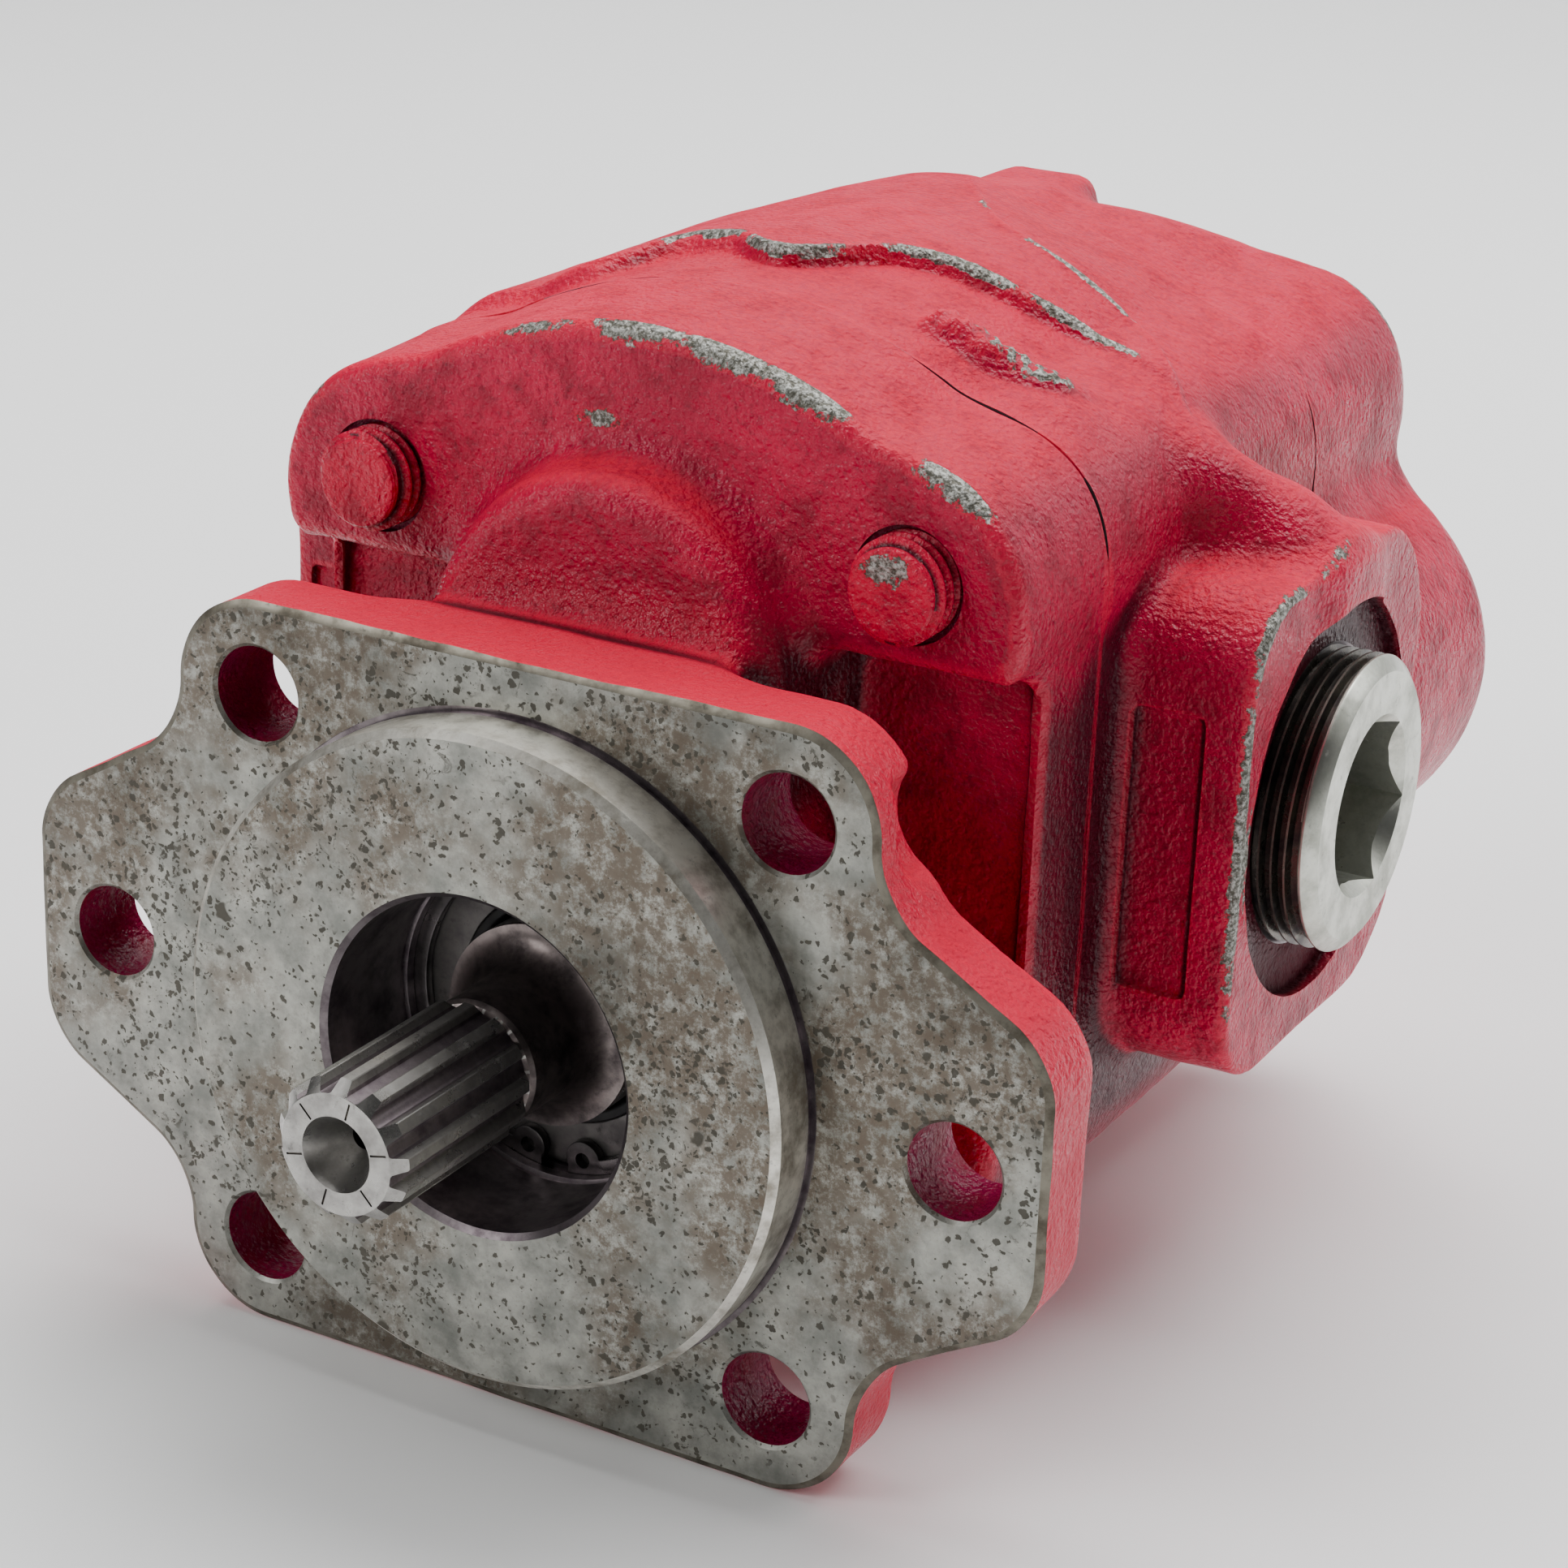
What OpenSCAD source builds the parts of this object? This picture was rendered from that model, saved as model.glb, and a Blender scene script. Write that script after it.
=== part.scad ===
// Hydraulic external gear pump with cast iron covers, side ports and a splined shaft.
// Units are millimetres. The origin is the centre of the mounting pilot on the
// mounting face. The drive shaft lies on the Y axis and points to -Y, the body
// runs back to +Y, and the driven gear sits above the drive gear at +Z.

/* [Gears] */
// Distance between the drive and the driven shaft
centre_dist = 50.8; // [48:0.1:54]
// Number of teeth on each gear
gear_teeth = 12; // [10:1:16]
// Width of the gears
gear_w = 63.5; // [40:0.5:76]
// Radius of the four shaft journals
journal_r = 15.875; // [14:0.125:17]

/* [Mounting flange] */
// Thickness of the flange plate
flange_t = 14; // [12:0.5:18]
// Half height of the flange plate
flange_half_h = 59.3; // [57:0.1:62]
// Distance from the shaft axis to each bolt hole of the two-bolt pattern
two_bolt_x = 73.025; // [70:0.005:76]
// Distance from the shaft axis to each bolt hole of the four-bolt pattern, in X and in Z
four_bolt_xz = 44.9; // [44:0.1:46]
// Radius of the mounting bolt holes
mount_hole_r = 7.35; // [6.5:0.05:7.6]
// Radius of the locating pilot
pilot_r = 50.8; // [47:0.1:51]
// Height of the locating pilot
pilot_h = 9.65; // [6:0.05:12]

/* [Drive shaft end] */
// Number of spline teeth
spline_teeth = 13; // [9:1:21]
// Outer radius of the spline
spline_r = 10.95; // [9:0.05:12]
// Distance from the mounting face to the end of the shaft
shaft_reach = 42.2; // [38:0.1:48]

/* [Body castings] */
// Place of the cover face behind the flange
cover_y = 31.6; // [29:0.1:34]
// Place of the joint between front cover and gear housing
seam1_y = 58.2; // [54:0.1:60]
// Place of the joint between gear housing and rear cover
seam2_y = 137; // [125:0.5:150]
// Place of the rear face of the rear cover
rear_y = 180; // [172:0.5:186]
// Half width of the housing and covers
body_half_w = 63.7; // [62:0.1:66]
// Radius of the arched top and bottom of the housing and covers
body_arch_r = 77; // [76:0.1:80]
// Radius of the four bolt ears
ear_r = 18.3; // [17:0.1:19]
// Offset of the tie bolts from the middle of the body, in X and in Z
tie_xz = 45.4; // [44.5:0.1:46]

/* [Side ports] */
// Distance from the middle of the body to each port face
port_face_x = 84.8; // [80:0.1:88]
// Place of the port axis along the body
port_y = 101.6; // [99:0.1:104]
// Radius of the port thread
port_thread_r = 23.65; // [20:0.05:24.5]
// Radius of the spot face around the port thread
port_spot_r = 32; // [28:0.1:33]

/* [Hidden] */
$fn = 96;

eps = 0.01;
// How far cutters reach past a face, and how deep joined solids overlap
over = 1;
mid_z = centre_dist / 2;
body_y = seam2_y - seam1_y;

// Gear teeth
gear_m = centre_dist / gear_teeth;
pressure_angle = 25;
pitch_r = centre_dist / 2;
base_r = pitch_r * cos(pressure_angle);
tip_r = pitch_r + gear_m;
root_r = pitch_r - 1.25 * gear_m;
backlash = 0.3;
flank_steps = 6;
root_blend_a = 1.5;

// Fits inside the body
run_gap = 0.06;
side_gap = 0.05;
tip_gap = 0.07;
lobe_r = tip_r + tip_gap;
plate_t = (body_y - gear_w) / 2 - side_gap;
plate_r = lobe_r;
plate_gap = 0.25;
plate_bore_r = journal_r + plate_gap;
bush_r = 19.5;
bush_bore_r = journal_r + run_gap;
bush_len = 26;
bush_recess = 1.5;
journal_room = 3;
journal_short = 1;
rear_bore_depth = bush_recess + bush_len + journal_room;
front_journal_y = seam1_y - bush_recess - bush_len;
gear_front_y = seam1_y + plate_t + side_gap;
gear_back_y = gear_front_y + gear_w;
driven_end_y = front_journal_y + journal_short;
rear_end_y = seam2_y + bush_recess + bush_len - journal_short;

// Nose of the front cover
seal_bore_r = 25.86;
seal_seat_y = 23;
seal_t = 8;
seal_sheet_t = 1.2;
seal_wall_t = 1.5;
seal_mouth = 2.2;
seal_throat = 3;
lip_gap = 0.05;
spring_r = 0.75;
seal_front_y = seal_seat_y - seal_t;
ring_t = 1.8;
ring_y = seal_front_y - ring_t;
ring_groove_r = 27.2;
ring_in_r = 23.6;
ring_play = 0.1;
ring_gap = 5;
ring_eye_a = 12;
ring_eye_r = 3;
ring_eye_hole_r = 1.25;
web_bore_r = journal_r + 1;
neck_r = 44;
neck_overlap = 8;
dome_r = 30;
dome_y = 21.5;
rim_y = 41.5;
rim_in_x = 60.7;
pocket_y = 45;
pocket_half_z = 31.5;
cover_inset = 1.7;
flange_corner_r = 14.4;
flange_ear_x = 87.3;
flange_ear_r = 6.5;
flange_ear_z = 16.5;
flange_fillet_z = 41;
flange_fillet_r = 8;
relief_r = 9;
relief_y = 7;
relief_xz = [64, 46];

// Shaft end
spline_root_r = 9.1;
spline_core_r = 8.5;
spline_foot = 0.30;
spline_tip = 0.18;
spline_runout = 1.2;
spline_clear = 0.2;
spline_rise = 0.3;
spline_end_y = -9.8;
shaft_neck_r = 10.1;
shaft_neck_rise = 2;
flare_y = 8.1;
flare_r = journal_r - shaft_neck_r;
shaft_chamfer = 1.9;
centre_hole_r = 5.65;
centre_drill_r = 1.8;
centre_cone_depth = 6.7;
centre_drill_depth = 13;
drill_lap = 0.7;

// Tie bolts, 5/8 inch
tie_r = 7.9;
tie_hole_r = 8.4;
tie_recess = 1.6;
tie_end_gap = 5;
tie_tip_y = 26;
tie_chamfer = 1;
spot_y = rear_y - 4;
spot_r = 16;
washer_t = 2.4;
washer_r = 14.3;
washer_gap = 0.1;
head_flats = 23.8;
head_h = 9.9;

// Dowels, body seals and plate seals
dowel_r = 5;
dowel_half = 8;
dowel_room = 0.5;
dowel_xz = [54.5, 22];
body_seal_w = 3;
body_seal_d = 2.4;
body_seal_r = lobe_r + 3;
plate_seal_w = 3;
plate_seal_d = 2;
plate_seal_r = 25.2;
plate_seal_waist = 11;

// Ports, bosses and plug
boss_half_y = 34.5;
boss_y = seam2_y - boss_half_y;
boss_half_z = 39.1;
boss_corner_r = 17;
spot_depth = 2.6;
thread_depth = 29;
passage_r = 15;
lobe_side_r = 34.4;
lobe_side_x = 50;
plug_face_x = 92;
plug_len = 27;
plug_r = port_thread_r - 0.06;
plug_pitch = 2.117;
plug_thread_h = 1.25;
plug_head_t = 3;
plug_groove = 3;
plug_flats = 25.4;
plug_socket_d = 16;
plug_chamfer = 2;
plug_lead = 1.4;
plug_neck = 2.6;
plug_ring_r = 1;
rib_r = 8.5;
rib_from = [58, 93, 73];
rib_to = [81, 104, 55];
raised_y = [90, 122];
raised_half_x = 38;
raised_h = 3.1;
pad_half_x = 11;
pad_y = [140, 167.5];
pad_z = 102.7;
crest_y = 148;
crest_angle = 15;

// ---------------------------------------------------------------- helpers

// A cylinder along +Y that starts at y0.
module ycyl(r, y0, y1, x = 0, z = 0) {
    translate([x, y0, z]) rotate([-90, 0, 0]) cylinder(r = r, h = y1 - y0);
}

// A cylinder along X between x0 and x1 at the port axis.
module port_cyl(r, x0, x1) {
    translate([x0, port_y, mid_z]) rotate([0, 90, 0]) cylinder(r = r, h = x1 - x0);
}

// Stands a flat XZ shape up and gives it depth from y0 to y1.
module slab(y0, y1) {
    translate([0, y1, 0]) rotate([90, 0, 0]) linear_extrude(height = y1 - y0) children();
}

// Puts a child at each of the four tie bolt places, in the XZ plane.
module at_ties() {
    for (sx = [-1, 1], sz = [-1, 1])
        translate([sx * tie_xz, 0, mid_z + sz * tie_xz]) children();
}

// Puts a child at both gear axes.
module at_gear_axes() {
    for (z = [0, centre_dist]) translate([0, 0, z]) children();
}

// Outline of housing and covers, made smaller all round by inset.
module body_outline(inset = 0) {
    translate([0, mid_z]) {
        intersection() {
            circle(r = body_arch_r - inset, $fn = 180);
            square([2 * (body_half_w - inset), 3 * body_arch_r], center = true);
        }
        for (sx = [-1, 1], sz = [-1, 1])
            translate([sx * tie_xz, sz * tie_xz]) circle(r = ear_r - inset);
    }
}

// Two overlapping lobes round both gear axes.
module twin_lobes(r) {
    for (z = [0, centre_dist]) translate([0, z]) circle(r = r);
}

// A round-ended outline that encloses both gear axes.
module stadium(r) {
    for (z = [0, centre_dist]) translate([0, z]) circle(r = r);
    translate([-r, 0]) square([2 * r, centre_dist]);
}

// Points of an arc from angle a0 to a1.
function arc(c, r, a0, a1, n) =
    [for (i = [0 : n]) c + r * [cos(a0 + (a1 - a0) * i / n), sin(a0 + (a1 - a0) * i / n)]];

// ---------------------------------------------------------------- flange

// One quarter of the flange outline, from the X axis to the Z axis.
slope_a = 60;
ear_c = [flange_ear_x - flange_ear_r, flange_ear_z];
corner_c = [four_bolt_xz, flange_half_h - flange_corner_r];
corner_edge_x = four_bolt_xz + flange_corner_r;
fillet_c = [corner_edge_x + flange_fillet_r, flange_fillet_z];
flange_quarter = concat(
    [[flange_ear_x, 0]],
    arc(ear_c, flange_ear_r, 0, slope_a, 8),
    arc(fillet_c, flange_fillet_r, 240, 180, 8),
    arc(corner_c, flange_corner_r, 0, 90, 12)
);

module flange_outline() {
    n = len(flange_quarter);
    polygon(concat(
        flange_quarter,
        [for (i = [1 : n]) [-flange_quarter[n - i][0], flange_quarter[n - i][1]]],
        [for (i = [1 : n - 1]) [-flange_quarter[i][0], -flange_quarter[i][1]]],
        [for (i = [1 : n - 1]) [flange_quarter[n - i][0], -flange_quarter[n - i][1]]]
    ));
}

// Room for a wrench on the back of both upper corners.
module flange_reliefs() {
    for (sx = [-1, 1]) ycyl(relief_r, relief_y, flange_t + over, sx * relief_xz[0], relief_xz[1]);
}

module flange_holes() {
    for (sx = [-1, 1]) ycyl(mount_hole_r, -over, flange_t + over, sx * two_bolt_x, 0);
    for (sx = [-1, 1], sz = [-1, 1])
        ycyl(mount_hole_r, -over, flange_t + over, sx * four_bolt_xz, sz * four_bolt_xz);
}

// ---------------------------------------------------------------- covers and housing

module dowel_holes(y0, y1) {
    for (s = [-1, 1]) ycyl(dowel_r, y0, y1, s * dowel_xz[0], mid_z - s * dowel_xz[1]);
}

// Box on both flanks between the ears, from x0 outwards and from the cover face back to y1.
module flank_cut(x0, x1, y1) {
    for (s = [0, 1]) mirror([s, 0, 0])
        translate([x0, cover_y - over, mid_z - pocket_half_z])
            cube([x1 - x0, y1 - cover_y + over, 2 * pocket_half_z]);
}

// Body of the front cover behind the flange, with a rim and a pocket on each flank.
module front_cover_body() {
    difference() {
        union() {
            slab(cover_y, seam1_y) body_outline(cover_inset);
            slab(rim_y, seam1_y) body_outline();
        }
        flank_cut(neck_r - neck_overlap, body_half_w + over, rim_y);
        flank_cut(neck_r - neck_overlap, rim_in_x, pocket_y);
    }
}

module front_cover() {
    color("firebrick") difference() {
        union() {
            difference() {
                slab(0, flange_t) flange_outline();
                flange_reliefs();
            }
            ycyl(pilot_r, -pilot_h, over);
            ycyl(neck_r, flange_t - over, pocket_y + over);
            ycyl(dome_r, dome_y, cover_y + over, 0, centre_dist);
            front_cover_body();
        }
        flange_holes();
        ycyl(seal_bore_r, -pilot_h - over, seal_seat_y);
        ycyl(ring_groove_r, ring_y - ring_play, seal_front_y);
        ycyl(web_bore_r, 0, seam1_y + over);
        ycyl(bush_r, front_journal_y, seam1_y + over);
        ycyl(bush_r, driven_end_y - journal_room, seam1_y + over, 0, centre_dist);
        at_ties() ycyl(tie_r, cover_y - tie_end_gap, seam1_y + over);
        at_ties() ycyl(tie_r + tie_recess, cover_y - tie_end_gap, cover_y + tie_recess);
        dowel_holes(seam1_y - dowel_half - dowel_room, seam1_y + over);
    }
}

// Round-cornered port boss on the +X side, standing on the housing flank.
module port_boss() {
    intersection() {
        translate([0, boss_y - boss_half_y, mid_z - boss_half_z])
            cube([port_face_x, 2 * boss_half_y, 2 * boss_half_z]);
        translate([0, boss_y, mid_z]) rotate([0, 90, 0]) linear_extrude(height = port_face_x)
            union() {
                square([2 * boss_half_z, 2 * (boss_half_y - boss_corner_r)], center = true);
                square([2 * (boss_half_z - boss_corner_r), 2 * boss_half_y], center = true);
                for (sy = [-1, 1], sz = [-1, 1])
                    translate([sz * (boss_half_z - boss_corner_r), sy * (boss_half_y - boss_corner_r)])
                        circle(r = boss_corner_r);
            }
    }
}

// Rib that runs down from the arched top to the port boss.
module port_rib() {
    run = rib_to - rib_from;
    reach = norm(run);
    intersection() {
        translate(rib_from) rotate([0, acos(run[2] / reach), atan2(run[1], run[0])]) union() {
            cylinder(r = rib_r, h = reach);
            sphere(r = rib_r);
        }
        translate([0, seam1_y, mid_z]) cube([port_face_x, body_y, body_arch_r]);
    }
}

// Everything drilled from one port face: spot face, thread and passage to the gears.
module port_bore() {
    port_cyl(port_spot_r, port_face_x - spot_depth, port_face_x + over);
    port_cyl(port_thread_r, port_face_x - spot_depth - thread_depth, port_face_x + over);
    port_cyl(passage_r, 0, port_face_x);
}

// Round-ended ring outside the gear chamber, as the body seal or as its groove.
module body_seal_ring(y0, y1) {
    slab(y0, y1) difference() {
        stadium(body_seal_r + body_seal_w);
        stadium(body_seal_r);
    }
}

// Raised back of the housing's arched top.
module raised_top() {
    slab(raised_y[0], raised_y[1]) translate([0, mid_z]) intersection() {
        circle(r = body_arch_r + raised_h, $fn = 180);
        translate([-raised_half_x, tie_xz]) square([2 * raised_half_x, body_arch_r]);
    }
}

module gear_housing() {
    color("crimson") difference() {
        union() {
            slab(seam1_y, seam2_y) body_outline();
            raised_top();
            for (s = [0, 1]) mirror([s, 0, 0]) {
                port_boss();
                port_rib();
            }
        }
        slab(seam1_y - over, seam2_y + over) twin_lobes(lobe_r);
        for (s = [0, 1]) mirror([s, 0, 0]) port_bore();
        body_seal_ring(seam1_y - over, seam1_y + body_seal_d);
        body_seal_ring(seam2_y - body_seal_d, seam2_y + over);
        at_ties() ycyl(tie_hole_r, seam1_y - over, seam2_y + over);
        dowel_holes(seam1_y - over, seam1_y + dowel_half + dowel_room);
        dowel_holes(seam2_y - dowel_half - dowel_room, seam2_y + over);
    }
}

// Block that lies on the arched top and slopes down to the rear face.
module crest_cut() {
    translate([-body_half_w, crest_y, body_arch_r]) rotate([-crest_angle, 0, 0])
        cube([2 * body_half_w, rear_y - crest_y + 10, body_arch_r]);
}

module rear_cover() {
    color("firebrick") difference() {
        union() {
            difference() {
                slab(seam2_y, rear_y) body_outline();
                translate([0, 0, mid_z]) for (s = [0, 1]) mirror([0, 0, s]) crest_cut();
            }
            for (s = [-1, 1]) ycyl(lobe_side_r, seam2_y, rear_y, s * lobe_side_x, mid_z);
            translate([-pad_half_x, pad_y[0], mid_z])
                cube([2 * pad_half_x, pad_y[1] - pad_y[0], pad_z - mid_z]);
        }
        at_gear_axes() ycyl(bush_r, seam2_y - over, seam2_y + rear_bore_depth);
        at_ties() ycyl(tie_hole_r, seam2_y - over, rear_y + over);
        at_ties() ycyl(spot_r, spot_y, rear_y + over);
        dowel_holes(seam2_y - over, seam2_y + dowel_half + dowel_room);
    }
}

// ---------------------------------------------------------------- gears and shafts

// Half angle of a gear tooth at radius r, from its centre line.
function inv(a) = tan(a) * 180 / PI - a;
function pressure_at(r) = acos(min(1, base_r / r));
function tooth_half(r) =
    90 / gear_teeth - backlash / 2 / pitch_r * 90 / PI
    + inv(pressure_angle) - inv(pressure_at(max(r, base_r)));
function flank_r(i) = base_r + (tip_r - base_r) * i / flank_steps;
function polar(r, a) = [r * cos(a), r * sin(a)];

// One tooth and the root behind it, from angle a - pitch/2 to a + pitch/2.
function tooth_points(a) = concat(
    [polar(root_r, a - 180 / gear_teeth), polar(root_r, a - tooth_half(base_r) - root_blend_a)],
    [for (i = [0 : flank_steps]) polar(flank_r(i), a - tooth_half(flank_r(i)))],
    [polar(tip_r, a)],
    [for (i = [flank_steps : -1 : 0]) polar(flank_r(i), a + tooth_half(flank_r(i)))],
    [polar(root_r, a + tooth_half(base_r) + root_blend_a)]
);

module gear_outline(phase) {
    polygon([for (k = [0 : gear_teeth - 1]) each tooth_points(k * 360 / gear_teeth + phase)]);
}

// Spline teeth with straight flanks that narrow towards the tip.
spline_pitch_a = 360 / spline_teeth;
function spline_points(a) = [
    polar(spline_root_r, a - spline_foot * spline_pitch_a),
    polar(spline_r, a - spline_tip * spline_pitch_a),
    polar(spline_r, a),
    polar(spline_r, a + spline_tip * spline_pitch_a),
    polar(spline_root_r, a + spline_foot * spline_pitch_a),
    polar(spline_root_r, a + 0.5 * spline_pitch_a)
];

module spline_end() {
    intersection() {
        slab(-shaft_reach, spline_end_y)
            polygon([for (k = [0 : spline_teeth - 1]) each spline_points(k * spline_pitch_a)]);
        rotate([-90, 0, 0]) rotate_extrude() polygon([
            [0, -shaft_reach], [spline_r - shaft_chamfer, -shaft_reach],
            [spline_r + spline_clear, spline_clear + shaft_chamfer - shaft_reach],
            [spline_r + spline_clear, spline_end_y - spline_runout],
            [spline_root_r + spline_rise, spline_end_y], [0, spline_end_y]
        ]);
    }
}

// Polished neck that flares up to the first journal.
module shaft_neck() {
    rotate([-90, 0, 0]) rotate_extrude() polygon(concat(
        [[0, spline_end_y - over], [spline_core_r, spline_end_y - over], [spline_core_r, spline_end_y],
         [shaft_neck_r, spline_end_y + shaft_neck_rise]],
        arc([journal_r, flare_y - flare_r], flare_r, 180, 90, 8),
        [[journal_r, flare_y + over], [0, flare_y + over]]
    ));
}

module drive_gear_shaft() {
    color("lightsteelblue") difference() {
        union() {
            spline_end();
            shaft_neck();
            ycyl(journal_r, flare_y, rear_end_y);
            slab(gear_front_y, gear_back_y) gear_outline(90);
        }
        translate([0, -shaft_reach - eps, 0]) rotate([-90, 0, 0])
            cylinder(r1 = centre_hole_r, r2 = centre_drill_r, h = centre_cone_depth);
        ycyl(centre_drill_r, centre_cone_depth - shaft_reach - drill_lap, centre_drill_depth - shaft_reach);
    }
}

module driven_gear_shaft() {
    color("lightsteelblue") translate([0, 0, centre_dist]) union() {
        ycyl(journal_r, driven_end_y, rear_end_y);
        slab(gear_front_y, gear_back_y) gear_outline(90 + 180 / gear_teeth);
    }
}

// ---------------------------------------------------------------- bearings, plates and seals

module bushing(y0) {
    difference() {
        ycyl(bush_r, y0, y0 + bush_len);
        ycyl(bush_bore_r, y0 - over, y0 + bush_len + over);
    }
}

module front_drive_bushing() {
    color("darkgoldenrod") bushing(front_journal_y);
}

module front_driven_bushing() {
    color("darkgoldenrod") translate([0, 0, centre_dist]) bushing(front_journal_y);
}

module rear_drive_bushing() {
    color("darkgoldenrod") bushing(seam2_y + bush_recess);
}

module rear_driven_bushing() {
    color("darkgoldenrod") translate([0, 0, centre_dist]) bushing(seam2_y + bush_recess);
}

// Two discs on the gear axes with a bar between them.
module figure_eight(r, waist) {
    for (z = [0, centre_dist]) translate([0, z]) circle(r = r);
    translate([-waist, 0]) square([2 * waist, centre_dist]);
}

// Loop that the plate seal fills, on the outer face of a thrust plate.
module plate_seal_loop() {
    difference() {
        figure_eight(plate_seal_r, plate_seal_waist);
        figure_eight(plate_seal_r - plate_seal_w, plate_seal_waist - plate_seal_w);
    }
}

// Pressure plate that seals one side of both gears. Its seal groove faces y_groove.
module thrust_plate(y0, y_groove) {
    difference() {
        slab(y0, y0 + plate_t) twin_lobes(plate_r);
        at_gear_axes() ycyl(plate_bore_r, y0 - over, y0 + plate_t + over);
        slab(y_groove, y_groove + plate_seal_d) plate_seal_loop();
    }
}

module front_thrust_plate() {
    color("peru") thrust_plate(seam1_y, seam1_y);
}

module rear_thrust_plate() {
    color("peru") thrust_plate(seam2_y - plate_t, seam2_y - plate_seal_d);
}

module front_plate_seal() {
    color("darkslategray") slab(seam1_y, seam1_y + plate_seal_d) plate_seal_loop();
}

module rear_plate_seal() {
    color("darkslategray") slab(seam2_y - plate_seal_d, seam2_y) plate_seal_loop();
}

module front_body_seal() {
    color("darkslategray") body_seal_ring(seam1_y, seam1_y + body_seal_d);
}

module rear_body_seal() {
    color("darkslategray") body_seal_ring(seam2_y - body_seal_d, seam2_y);
}

// Pressed steel case of the shaft lip seal.
module shaft_seal_case() {
    color("gray") rotate([-90, 0, 0]) rotate_extrude() polygon([
        [seal_bore_r, seal_front_y], [seal_bore_r, seal_seat_y], [journal_r + seal_throat, seal_seat_y],
        [journal_r + seal_throat, seal_seat_y - seal_sheet_t],
        [seal_bore_r - seal_wall_t, seal_seat_y - seal_sheet_t],
        [seal_bore_r - seal_wall_t, seal_front_y + seal_sheet_t],
        [journal_r + seal_mouth, seal_front_y + seal_sheet_t], [journal_r + seal_mouth, seal_front_y]
    ]);
}

// Rubber lip that runs on the shaft.
module shaft_seal_lip() {
    color("black") rotate([-90, 0, 0]) rotate_extrude() polygon([
        [journal_r + seal_mouth, seal_front_y], [journal_r + seal_mouth, seal_front_y + seal_sheet_t],
        [seal_bore_r - seal_wall_t, seal_front_y + seal_sheet_t],
        [seal_bore_r - seal_wall_t, seal_front_y + seal_sheet_t + 1],
        [journal_r + 3.2, seal_front_y + seal_sheet_t + 1], [journal_r + 3.2, seal_front_y + 4],
        [journal_r + 2, seal_front_y + 6.5], [journal_r + lip_gap, seal_front_y + 5],
        [journal_r + 0.6, seal_front_y]
    ]);
}

// Coiled tension spring that rests on the back of the seal lip.
module seal_garter_spring() {
    color("silver") rotate([-90, 0, 0]) rotate_extrude()
        translate([journal_r + 4, seal_front_y + 5.2]) circle(r = spring_r, $fn = 24);
}

// Discs at the two eyes beside the gap of the retaining ring.
module ring_eyes(r) {
    for (s = [-1, 1]) rotate(-90 + s * ring_eye_a) translate([ring_in_r, 0]) circle(r = r, $fn = 32);
}

// Internal retaining ring with its gap and two eyes.
module retaining_ring() {
    color("dimgray") slab(ring_y, ring_y + ring_t - ring_play) difference() {
        union() {
            difference() {
                circle(r = ring_groove_r - 1.5 * ring_play);
                circle(r = ring_in_r);
            }
            ring_eyes(ring_eye_r);
        }
        rotate(-90) translate([0, -ring_gap / 2]) square([ring_groove_r + over, ring_gap]);
        ring_eyes(ring_eye_hole_r);
    }
}

// ---------------------------------------------------------------- fasteners and plug

module dowel_pins(y) {
    for (s = [-1, 1])
        ycyl(dowel_r, y - dowel_half, y + dowel_half, s * dowel_xz[0], mid_z - s * dowel_xz[1]);
}

module front_dowel_pins() {
    color("silver") dowel_pins(seam1_y);
}

module rear_dowel_pins() {
    color("silver") dowel_pins(seam2_y);
}

// Four cap screws. They pass through rear cover and housing and thread into the front cover.
module tie_bolts() {
    color("indianred") at_ties() {
        ycyl(tie_r, tie_tip_y + tie_chamfer, spot_y + washer_t + over);
        translate([0, tie_tip_y, 0]) rotate([-90, 0, 0])
            cylinder(r1 = tie_r - tie_chamfer, r2 = tie_r, h = tie_chamfer);
        translate([0, spot_y + washer_t, 0]) rotate([-90, 0, 0])
            cylinder(r = head_flats / sqrt(3), h = head_h, $fn = 6);
    }
}

module bolt_washers() {
    color("indianred") at_ties() difference() {
        ycyl(washer_r, spot_y, spot_y + washer_t);
        ycyl(tie_r + washer_gap, spot_y - over, spot_y + washer_t + over);
    }
}

// Threaded plug along +X, face at x = 0, with its thread drawn as separate ridges.
module plug_body() {
    turns = floor((plug_len - plug_head_t - plug_groove) / plug_pitch);
    thread_end = -plug_head_t - turns * plug_pitch;
    rotate([0, 90, 0]) rotate_extrude() polygon(concat(
        [[0, 0], [plug_r - plug_chamfer, 0], [plug_r, -plug_chamfer], [plug_r, -plug_head_t]],
        [for (i = [0 : turns - 1]) each [
            [plug_r - plug_thread_h, -plug_head_t - (i + 0.25) * plug_pitch],
            [plug_r - plug_thread_h, -plug_head_t - (i + 0.45) * plug_pitch],
            [plug_r, -plug_head_t - (i + 0.75) * plug_pitch],
            [plug_r, -plug_head_t - (i + 1) * plug_pitch]
        ]],
        [[plug_r - plug_neck, thread_end - over], [plug_r - plug_neck, -plug_len], [0, -plug_len]]
    ));
}

module port_plug() {
    color("silver") translate([plug_face_x, port_y, mid_z]) difference() {
        plug_body();
        translate([-plug_socket_d, 0, 0]) rotate([0, 90, 0])
            cylinder(r = plug_flats / sqrt(3), h = plug_socket_d + over, $fn = 6);
        translate([-plug_lead, 0, 0]) rotate([0, 90, 0])
            cylinder(r1 = plug_flats / 2, r2 = plug_flats / sqrt(3) + 0.2, h = plug_lead + eps);
    }
}

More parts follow.
